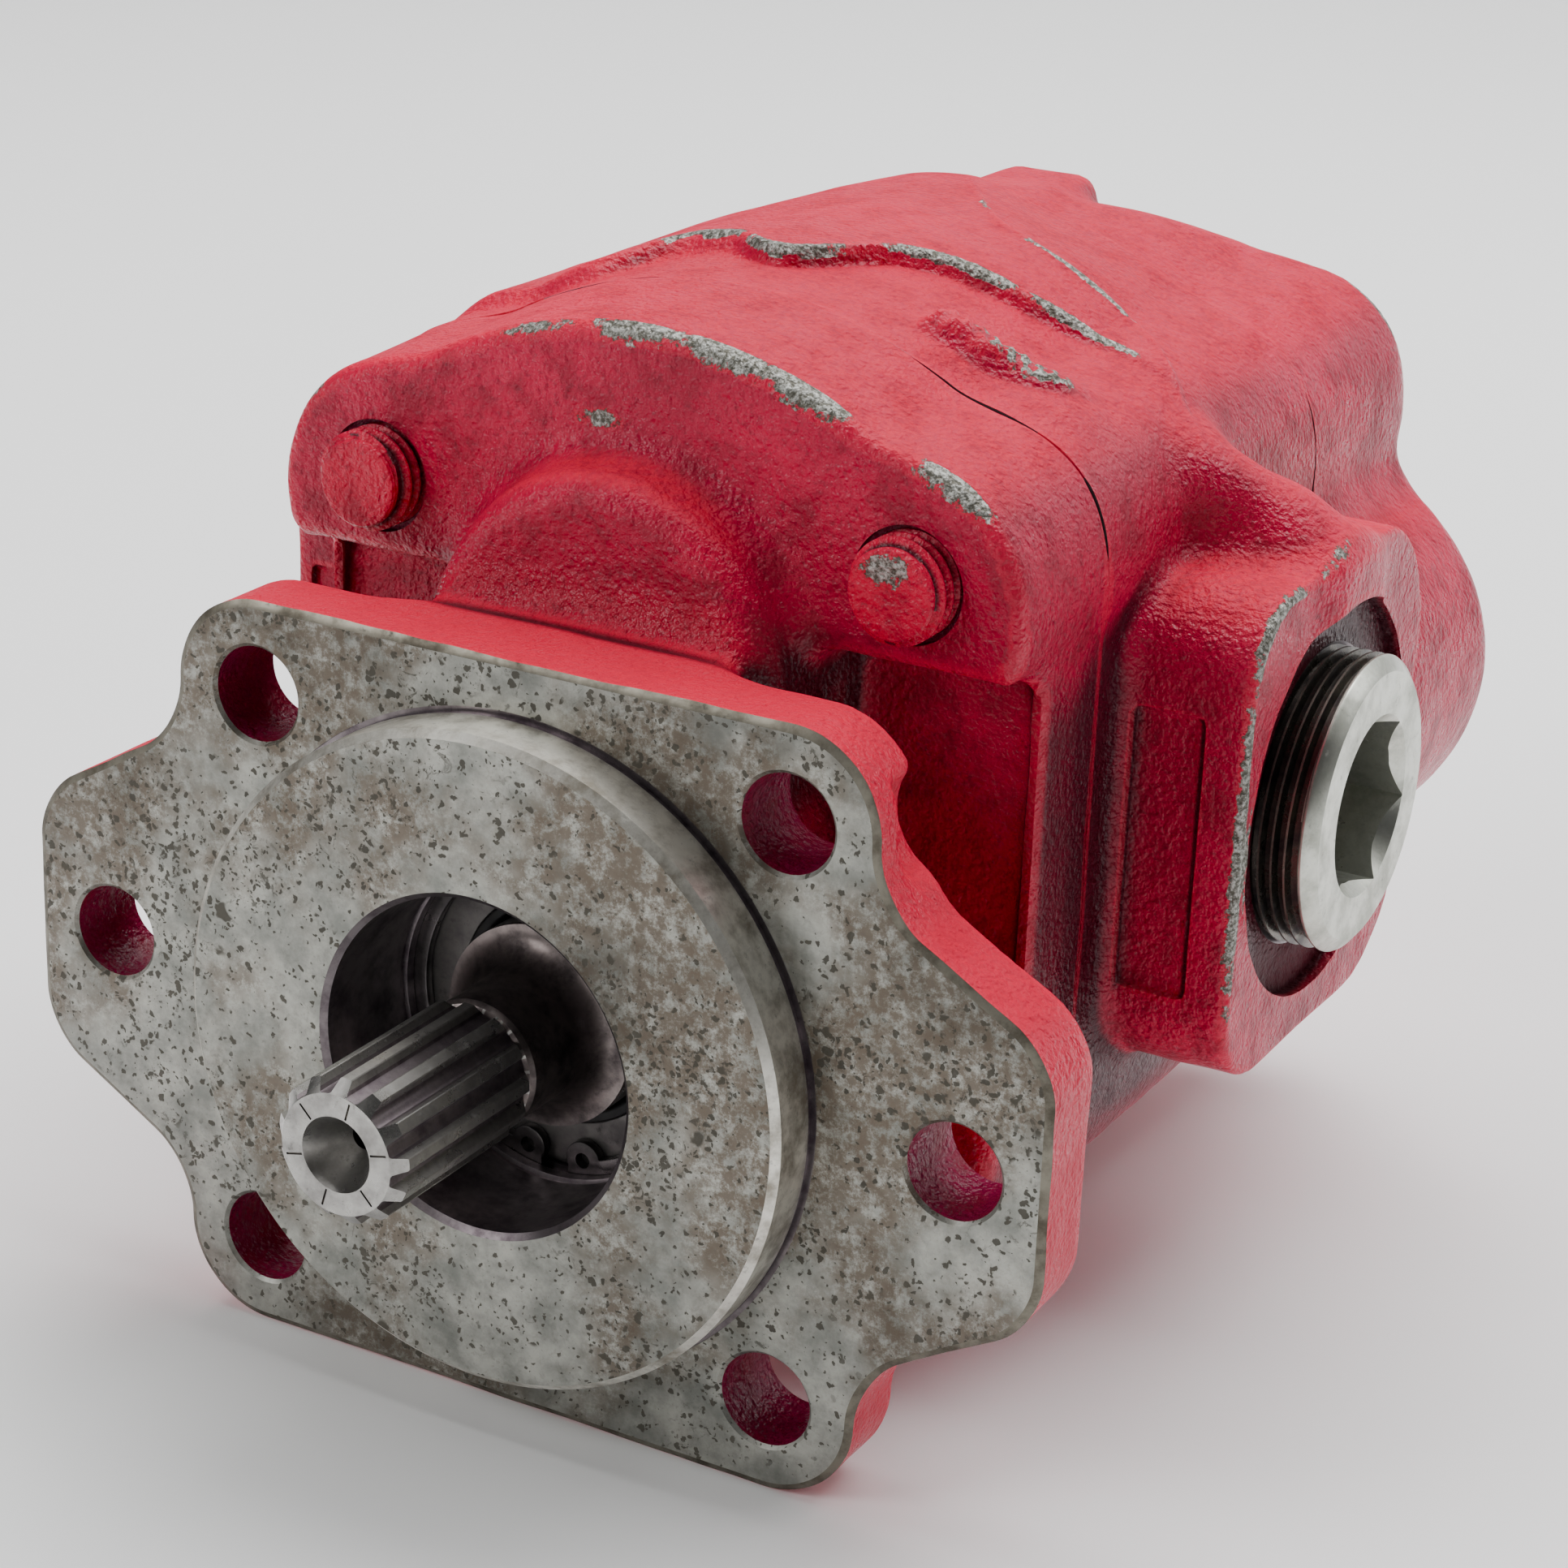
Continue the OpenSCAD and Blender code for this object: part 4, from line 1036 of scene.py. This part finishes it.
def build_tie_bolts():
    """Threaded ends in front, hexagon heads with washers behind, all under worn paint."""
    tip, under, washer_t = bolt_low.y, rear_high.y - 1.6, 2.4
    top, r, start = bolt_high.y, TIE_FLATS / 2, COVER_Y + 5.5
    for k, (x, z) in enumerate(TIES):
        at = (x, 0, z)
        rod = thread("rod", TIE_R, 1.2, TIE_PITCH, tip + 0.9, start,
                     ([(0.01, tip + 0.3), (TIE_R - 3.6, tip + 0.1), (TIE_R - 2, tip),
                       (TIE_R - 1.4, tip + 0.15), (TIE_R - 1.1, tip + 0.5)],
                      [(TIE_R, start + 0.1), (TIE_R, under + 1)]), [BOLT_RED, OIL_AND_SHADE], lead=0.3)
        place(rod, 70 + 95 * k, "Y", at)
        head = prism("head", hexagon(TIE_FLATS, 11 + 17 * k), under, top, [BOLT_RED], at)
        crown = turned("crown", [(0.01, under - 1), (r + 3, under - 1), (r + 3, top - 2.4), (r - 0.6, top),
                                 (0.01, top)], [BOLT_RED], at)
        combine(head, [crown], "INTERSECT")
        combine(rod, [head], "UNION")
        rod.name = f"tie_bolt_{k + 1}"
        px, py, pz = (points_of(rod) - at).T
        d = np.hypot(px, pz)
        back = (py > top - 2) * 0.5
        rim = 0.35 * np.exp(-((d - TIE_R + 2) / 0.8) ** 2 - ((py - tip) / 0.8) ** 2)
        patch = 1.15 if x > 0 and z > MID_Z else 0.35
        # The thread roots get painted shade, and the washers a small painted-shade value.
        mark(rod, edge=np.clip(rim + back, 0, 1), worn=back * 0.24,
             hollow=np.where((py > tip + 1.5) & (py < under - 3), 0.05, 0),
             deep=np.where((d < TIE_R - 0.5) & (py > tip + 1.2), 0.75, 0),
             spot=bells(points_of(rod), [((x - 0.5, tip, z + 3), (5, 2, 3.6), patch)]))
        finish_piece(rod, "casing", ["tie_bolts"], sharp=28)
        washer = turned(f"bolt_washer_{k + 1}", rounded(
            [(TIE_R + 0.4, under - washer_t), (14.3, under - washer_t), (14.3, under), (TIE_R + 0.4, under)],
            [0.3, 0.5, 0.5, 0.3]), [BOLT_RED], at, segments=64, closed=True)
        mark(washer, edge=0.3, hollow=0.1, deep=0.2, worn=0.3, spot=0.0)
        finish_piece(washer, "casing", ["bolt_washers"])


def build_plug():
    """Zinc-plated plug with a dark thread and a hexagon socket."""
    r, length, head = plug_high.z - MID_Z, plug_high.x - plug_low.x, 2.6
    ob = thread("port_plug_body", r, 1.25, PORT_PITCH, 4.5 - length, -head - 0.2,
                ([(0.01, -length), (r - 4, -length), (r - 3, 1 - length), (r - 3, 4.2 - length)],
                 [(r - 0.9, -head), (r - 0.2, 0.15 - head), (r, 0.4 - head), (r, -1.9), (r - 0.3, -1.4),
                  (r - 1.8, -0.3), (r - 2.3, 0), (0.01, 0)]), PLUG_LOOKS, segments=144, lead=0.4)
    socket = prism("socket", hexagon(SOCKET_FLATS, SOCKET_TURN), -16, 4, PLUG_LOOKS)
    lead, core = [turned("cutter", profile, PLUG_LOOKS, segments=96) for profile in (
        [(0.01, 3), (15.6, 3), (14.6, 0.02), (12.7, -2.2), (0.01, -9.5)],
        [(0.01, -18.5), (10, -14), (12.8, -14), (12.8, 2), (0.01, 2)])]
    combine(socket, [core], "UNION")
    combine(ob, [with_index(socket, 0), with_index(lead, 0)])
    # The thread's flanks and roots and the socket's bottom take the dark steel, the crests a lighter steel:
    # oil, with painted shade in the grooves and in the socket.
    for poly in ob.data.polygons:
        c = poly.center / MM
        out = math.hypot(c.x, c.z)
        if c.y < -head - 0.3 and out > r - 6:
            poly.material_index = 2 if out > r - 0.45 else 1
        else:
            poly.material_index = 1 if c.y < -12 and out < r - 6 else 0
    place(ob, -90, "Z", (plug_high.x, PORT_Y, MID_Z))
    return finish_piece(ob, "casing", ["port_plug"], sharp=25)


# ------------------------------------------------------------------ shaft and seal


def spline_outline(phase):
    """Outline of the spline: teeth with slanted flanks and rounded roots."""
    flank = [(SPLINE_ROOT_R + 0.15, 0.29), (SPLINE_ROOT_R + 0.7, 0.245), (SPLINE_R - 0.12, 0.175),
             (SPLINE_R, 0.145)]
    tooth = [(r, -share) for r, share in flank] + [(SPLINE_R, 0)] + flank[::-1]
    tooth += [(SPLINE_ROOT_R, share) for share in (0.36, 0.5, 0.64)]
    pitch = 360 / SPLINE_TEETH
    return polar([(r, (k + share) * pitch) for k in range(SPLINE_TEETH) for r, share in tooth], phase)


def build_drive_shaft():
    """Splined shaft end with its polished flare, and the gear behind it."""
    end = shaft_low.y
    spline = prism("spline", spline_outline(4), end - 1, SPLINE_END_Y + 1, SHAFT_LOOKS)
    taper = turned("taper", [(0.01, end), (SPLINE_R - 1.9, end), (SPLINE_R + 0.3, end + 2.2),
                             (SPLINE_R + 0.3, SPLINE_END_Y - 1.3), (SPLINE_ROOT_R - 0.3, SPLINE_END_Y + 0.9),
                             (0.01, SPLINE_END_Y + 0.9)], SHAFT_LOOKS)
    combine(spline, [taper], "INTERSECT")
    flare_r = JOURNAL_R - NECK_R
    arc = [(JOURNAL_R - flare_r * math.cos(a), FLARE_Y - flare_r + flare_r * math.sin(a))
           for a in np.linspace(0, math.pi / 2, 14)]
    rear, core_r = shaft_high.y, SPLINE_ROOT_R - 1.4
    core = turned("drive_shaft_steel", [
        (0.01, SPLINE_END_Y - 8), (core_r, SPLINE_END_Y - 8), (core_r, SPLINE_END_Y + 0.2),
        (NECK_R - 0.5, SPLINE_END_Y + 1.2), (NECK_R, SPLINE_END_Y + 2)] + arc + [
        (JOURNAL_R, FLARE_Y + 1), (JOURNAL_R, rear - 1), (JOURNAL_R - 1, rear), (0.01, rear)], SHAFT_LOOKS)
    combine(core, [spline], "UNION")
    centre = turned("centre", [(0.01, end - 2), (6.45, end - 2), (5.65, end + 0.02), (1.9, end + 6.6),
                               (1.8, end + 13), (0.01, end + 14)], SHAFT_LOOKS, segments=64)
    combine(core, [centre])
    outline = [(5.9, -0.16), (8.6, -0.16), (8.6, 0.16), (5.9, 0.16)]
    ticks = [prism("tick", outline, end - 1, end + 0.22, SHAFT_LOOKS) for _ in range(6)]
    combine(core, [with_index(place(tick, -14 - 60 * k, "Y", (0, 0, 0)), 1) for k, tick in enumerate(ticks)])
    combine(core, [gear_piece("drive_gear_teeth", 90, (0, 0, 0))], "UNION")
    # The roots between the spline teeth take the darker iron and the centre hole the dark steel: oil, with
    # painted shade in the roots and in the hole.
    for poly in core.data.polygons:
        c = poly.center / MM
        out = math.hypot(c.x, c.z)
        if SPLINE_END_Y + 1 < c.y < FLARE_Y + 2:
            poly.material_index = 2
        elif end + 1.5 < c.y < SPLINE_END_Y and 7 < out < SPLINE_ROOT_R + 0.45:
            poly.material_index = 3
        elif end + 0.3 < c.y < SPLINE_END_Y and out < 6.5:
            poly.material_index = 1 if out < 2.6 else 0
    return finish_piece(core, "drive_shaft", ["drive_gear_shaft"], sharp=25)


def gear_piece(name, phase, at):
    """Gear body with involute teeth and chamfered tooth ends, as wide as in the CAD."""
    teeth, module, pressure = GEAR_TEETH, CENTRE / GEAR_TEETH, math.radians(25)
    pitch_r = CENTRE / 2
    base_r, tip_r, root_r = pitch_r * math.cos(pressure), pitch_r + module, pitch_r - 1.25 * module

    def involute(a):
        return math.tan(a) - a

    def half(r):
        at_r = math.acos(min(1, base_r / max(r, base_r)))
        return math.pi / 2 / teeth - 0.15 / pitch_r / 2 + involute(pressure) - involute(at_r)

    rings = []
    for k in range(teeth):
        mid = math.radians(360 / teeth * k + phase)
        flank = [(r, half(r)) for r in np.linspace(base_r, tip_r, 7)]
        rings += [(root_r, mid - math.pi / teeth), (root_r + 0.3, mid - half(base_r) - 0.05)]
        rings += [(r, mid - h) for r, h in flank] + [(tip_r, mid)]
        rings += [(r, mid + h) for r, h in reversed(flank)] + [(root_r + 0.3, mid + half(base_r) + 0.05)]
    outline = [(r * math.cos(a), r * math.sin(a)) for r, a in rings]
    y0, y1 = (SEAM1 + SEAM2 - GEAR_W) / 2, (SEAM1 + SEAM2 + GEAR_W) / 2
    body = prism(name, outline, y0, y1, SHAFT_LOOKS, at)
    low_r, high_r = tip_r - 0.8, tip_r + 0.2
    bevel = turned("bevel", [(0.01, y0 - 1), (low_r, y0 - 1), (low_r, y0), (high_r, y0 + 1), (high_r, y1 - 1),
                             (low_r, y1), (low_r, y1 + 1), (0.01, y1 + 1)], SHAFT_LOOKS, at)
    return combine(body, [bevel], "INTERSECT")


def build_driven_shaft():
    """Driven gear in one piece with its shaft."""
    low, high = span("driven_gear_shaft")
    at = (0, 0, CENTRE)
    core = turned("driven_shaft_steel", [(0.01, low.y), (JOURNAL_R - 1, low.y), (JOURNAL_R, low.y + 1),
                                         (JOURNAL_R, high.y - 1), (JOURNAL_R - 1, high.y), (0.01, high.y)],
                  SHAFT_LOOKS, at)
    combine(core, [gear_piece("driven_gear_teeth", 105, at)], "UNION")
    return finish_piece(core, "driven_shaft", ["driven_gear_shaft"], sharp=25)


def build_seal():
    """Lip seal in its steel case and the ring that holds it."""
    r, y0, y1 = SEAL_R, SEAL_Y, seal_high.y
    case = turned("shaft_seal_shell", rounded(
        [(r - 0.02, y0), (r - 0.02, y1), (JOURNAL_R + 3, y1), (JOURNAL_R + 3, y1 - 1.2), (r - 1.5, y1 - 1.2),
         (r - 1.5, y0 + 1.2), (JOURNAL_R + 2.2, y0 + 1.2), (JOURNAL_R + 2.2, y0)],
        [1.2, 1.0, 0.3, 0.3, 0.8, 0.8, 0.3, 0.3]), [SEAL_STEEL], closed=True)
    finish_piece(case, "casing", ["shaft_seal_case"], sharp=40)
    j = JOURNAL_R
    lip = turned("shaft_seal_rubber", rounded(
        [(j + 2.2, y0 - 0.25), (j + 2.2, y0 + 1.2), (r - 1.5, y0 + 1.2), (r - 1.5, y0 + 2.2),
         (j + 3.2, y0 + 2.2), (j + 3.2, y0 + 4), (j + 2, y0 + 6.5), (j + 0.06, y0 + 5), (j + 0.6, y0 - 0.25)],
        [0.3, 0.1, 0.3, 0.3, 0.6, 0.5, 0.8, 0.1, 0.5]), [RUBBER], closed=True)
    finish_piece(lip, "casing", ["shaft_seal_lip"], sharp=40)
    outer, inner, a, b = 27.05, 23.6, ring_low.y + 0.02, ring_high.y - 0.02
    hoop = turned("retaining_hoop", rounded([(inner, a), (outer, a), (outer, b), (inner, b)], [0.25] * 4, 2),
                  [RING_STEEL], closed=True, segments=160)
    gap = prism("gap", [(-2.4, -30), (2.4, -30), (2.4, -18), (-2.4, -18)], a - 2, b + 2, [RING_STEEL])
    combine(hoop, [gap])
    for side in (-1, 1):
        turn = math.radians(-90 + side * 12)
        x, z = inner * math.cos(turn), inner * math.sin(turn)
        eye = turned("eye", rounded([(0.01, a), (3, a), (3, b), (0.01, b)], [0, 0.25, 0.25, 0], 2),
                     [RING_STEEL], (x, 0, z), segments=40)
        combine(hoop, [eye], "UNION")
        combine(hoop, [turned("pin", [(1.25, a - 2), (1.25, b + 2)], [RING_STEEL], (x, 0, z), segments=32)])
    finish_piece(hoop, "casing", ["retaining_ring"], sharp=35)


def dress_hidden_nodes():
    """Better materials on the CAD solids that stay as they are."""
    looks = {
        BRONZE: ["front_drive_bushing", "front_driven_bushing", "rear_drive_bushing", "rear_driven_bushing"],
        PLATE: ["front_thrust_plate", "rear_thrust_plate"],
        RUBBER: ["front_plate_seal", "rear_plate_seal", "front_body_seal", "rear_body_seal", "plug_seal"],
        PIN_STEEL: ["front_dowel_pins", "rear_dowel_pins", "seal_garter_spring"],
    }
    for look, nodes in looks.items():
        for node in nodes:
            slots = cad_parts[node].data.materials
            if not slots:
                slots.append(look)
            for k in range(len(slots)):
                slots[k] = look


build_front_cover()
build_housing()
build_rear_cover()
build_tie_bolts()
build_plug()
build_drive_shaft()
build_driven_shaft()
build_seal()
dress_hidden_nodes()

# ------------------------------------------------------------------ floor, light and camera


def build_floor():
    """Pale sweep: a floor that curves up into a wall behind the pump."""
    front, back, rise, width, radius = -3000, 2600, 2600, 3200, 900
    level = cover_low.z - 0.3
    profile = [(front, 0)]
    profile += [(back - radius + radius * math.sin(a), radius - radius * math.cos(a))
                for a in np.linspace(0, math.pi / 2, 13)]
    profile.append((back, rise))
    verts = [(sx * width, y, level + z) for y, z in profile for sx in (-1, 1)]
    faces = [(2 * k, 2 * k + 1, 2 * k + 3, 2 * k + 2) for k in range(len(profile) - 1)]
    g = Graph("pale_floor")
    tone = g.mix(g.noise(400, 2), (0.95, 0.95, 0.95), (0.97, 0.97, 0.97))
    floor = new_object("floor", verts, faces, [g.surface(tone, 0.8)])
    floor.data.shade_smooth()


def softbox(name, at, target, size, power):
    """Rectangular lamp that looks at a target."""
    data = bpy.data.lights.new(name, "AREA")
    data.shape = "RECTANGLE"
    data.size, data.size_y = size
    data.energy = power
    ob = bpy.data.objects.new(name, data)
    ob.location = at
    ob.rotation_euler = (Vector(target) - Vector(at)).to_track_quat("-Z", "Y").to_euler()
    bpy.context.scene.collection.objects.link(ob)


def build_light():
    """Soft boxes above, left, behind and in front, a lit wall, and a dim sky."""
    middle = (0, 0.06, 0.02)
    softbox("top_softbox", (0.0, 0.45, 1.25), middle, (1.6, 1.3), 26)
    softbox("left_softbox", (-1.0, -1.1, 0.85), middle, (0.9, 0.9), 15)
    softbox("back_right_softbox", (1.1, 0.95, 0.8), middle, (0.9, 0.8), 5)
    softbox("front_strip", (0.35, -1.5, 0.15), middle, (0.35, 1.0), 2.5)
    softbox("wall_light", (0, 1.2, 2.2), (0, 2.4, 0.2), (3.0, 1.2), 50)
    world = bpy.data.worlds.new("studio")
    world.use_nodes = True
    tree = world.node_tree
    sky = tree.nodes.new("ShaderNodeTexCoord")
    split = tree.nodes.new("ShaderNodeSeparateXYZ")
    product = tree.nodes.new("ShaderNodeMath")
    product.operation = "MULTIPLY"
    tree.links.new(sky.outputs["Generated"], split.inputs[0])
    for k, (axis, *limits) in enumerate((("Z", -0.2, 1.0, 0.20, 0.66), ("X", -0.1, 0.9, 1.0, 0.35))):
        grade = tree.nodes.new("ShaderNodeMapRange")
        tree.links.new(split.outputs[axis], grade.inputs["Value"])
        for key, value in zip(("From Min", "From Max", "To Min", "To Max"), limits):
            grade.inputs[key].default_value = value
        tree.links.new(grade.outputs["Result"], product.inputs[k])
    tree.links.new(product.outputs[0], tree.nodes["Background"].inputs["Strength"])
    bpy.context.scene.world = world


def build_camera():
    """Camera about 0.54 m from the mounting face, a little above and to the right of it."""
    data = bpy.data.cameras.new("camera")
    data.sensor_width = 36
    data.lens = 84.17
    camera = bpy.data.objects.new("camera", data)
    camera.location = (0.26784, -0.40545, 0.22999)
    azimuth, elevation, roll = (math.radians(a) for a in (28.87, 21.16, 2.23))
    forward = Vector((-math.sin(azimuth) * math.cos(elevation), math.cos(azimuth) * math.cos(elevation),
                      -math.sin(elevation)))
    turn = forward.to_track_quat("-Z", "Y")
    camera.rotation_mode = "QUATERNION"
    camera.rotation_quaternion = turn @ Matrix.Rotation(roll, 3, "Z").to_quaternion()
    data.clip_start, data.clip_end = 0.02, 20
    bpy.context.scene.collection.objects.link(camera)
    bpy.context.scene.camera = camera


build_floor()
build_light()
build_camera()
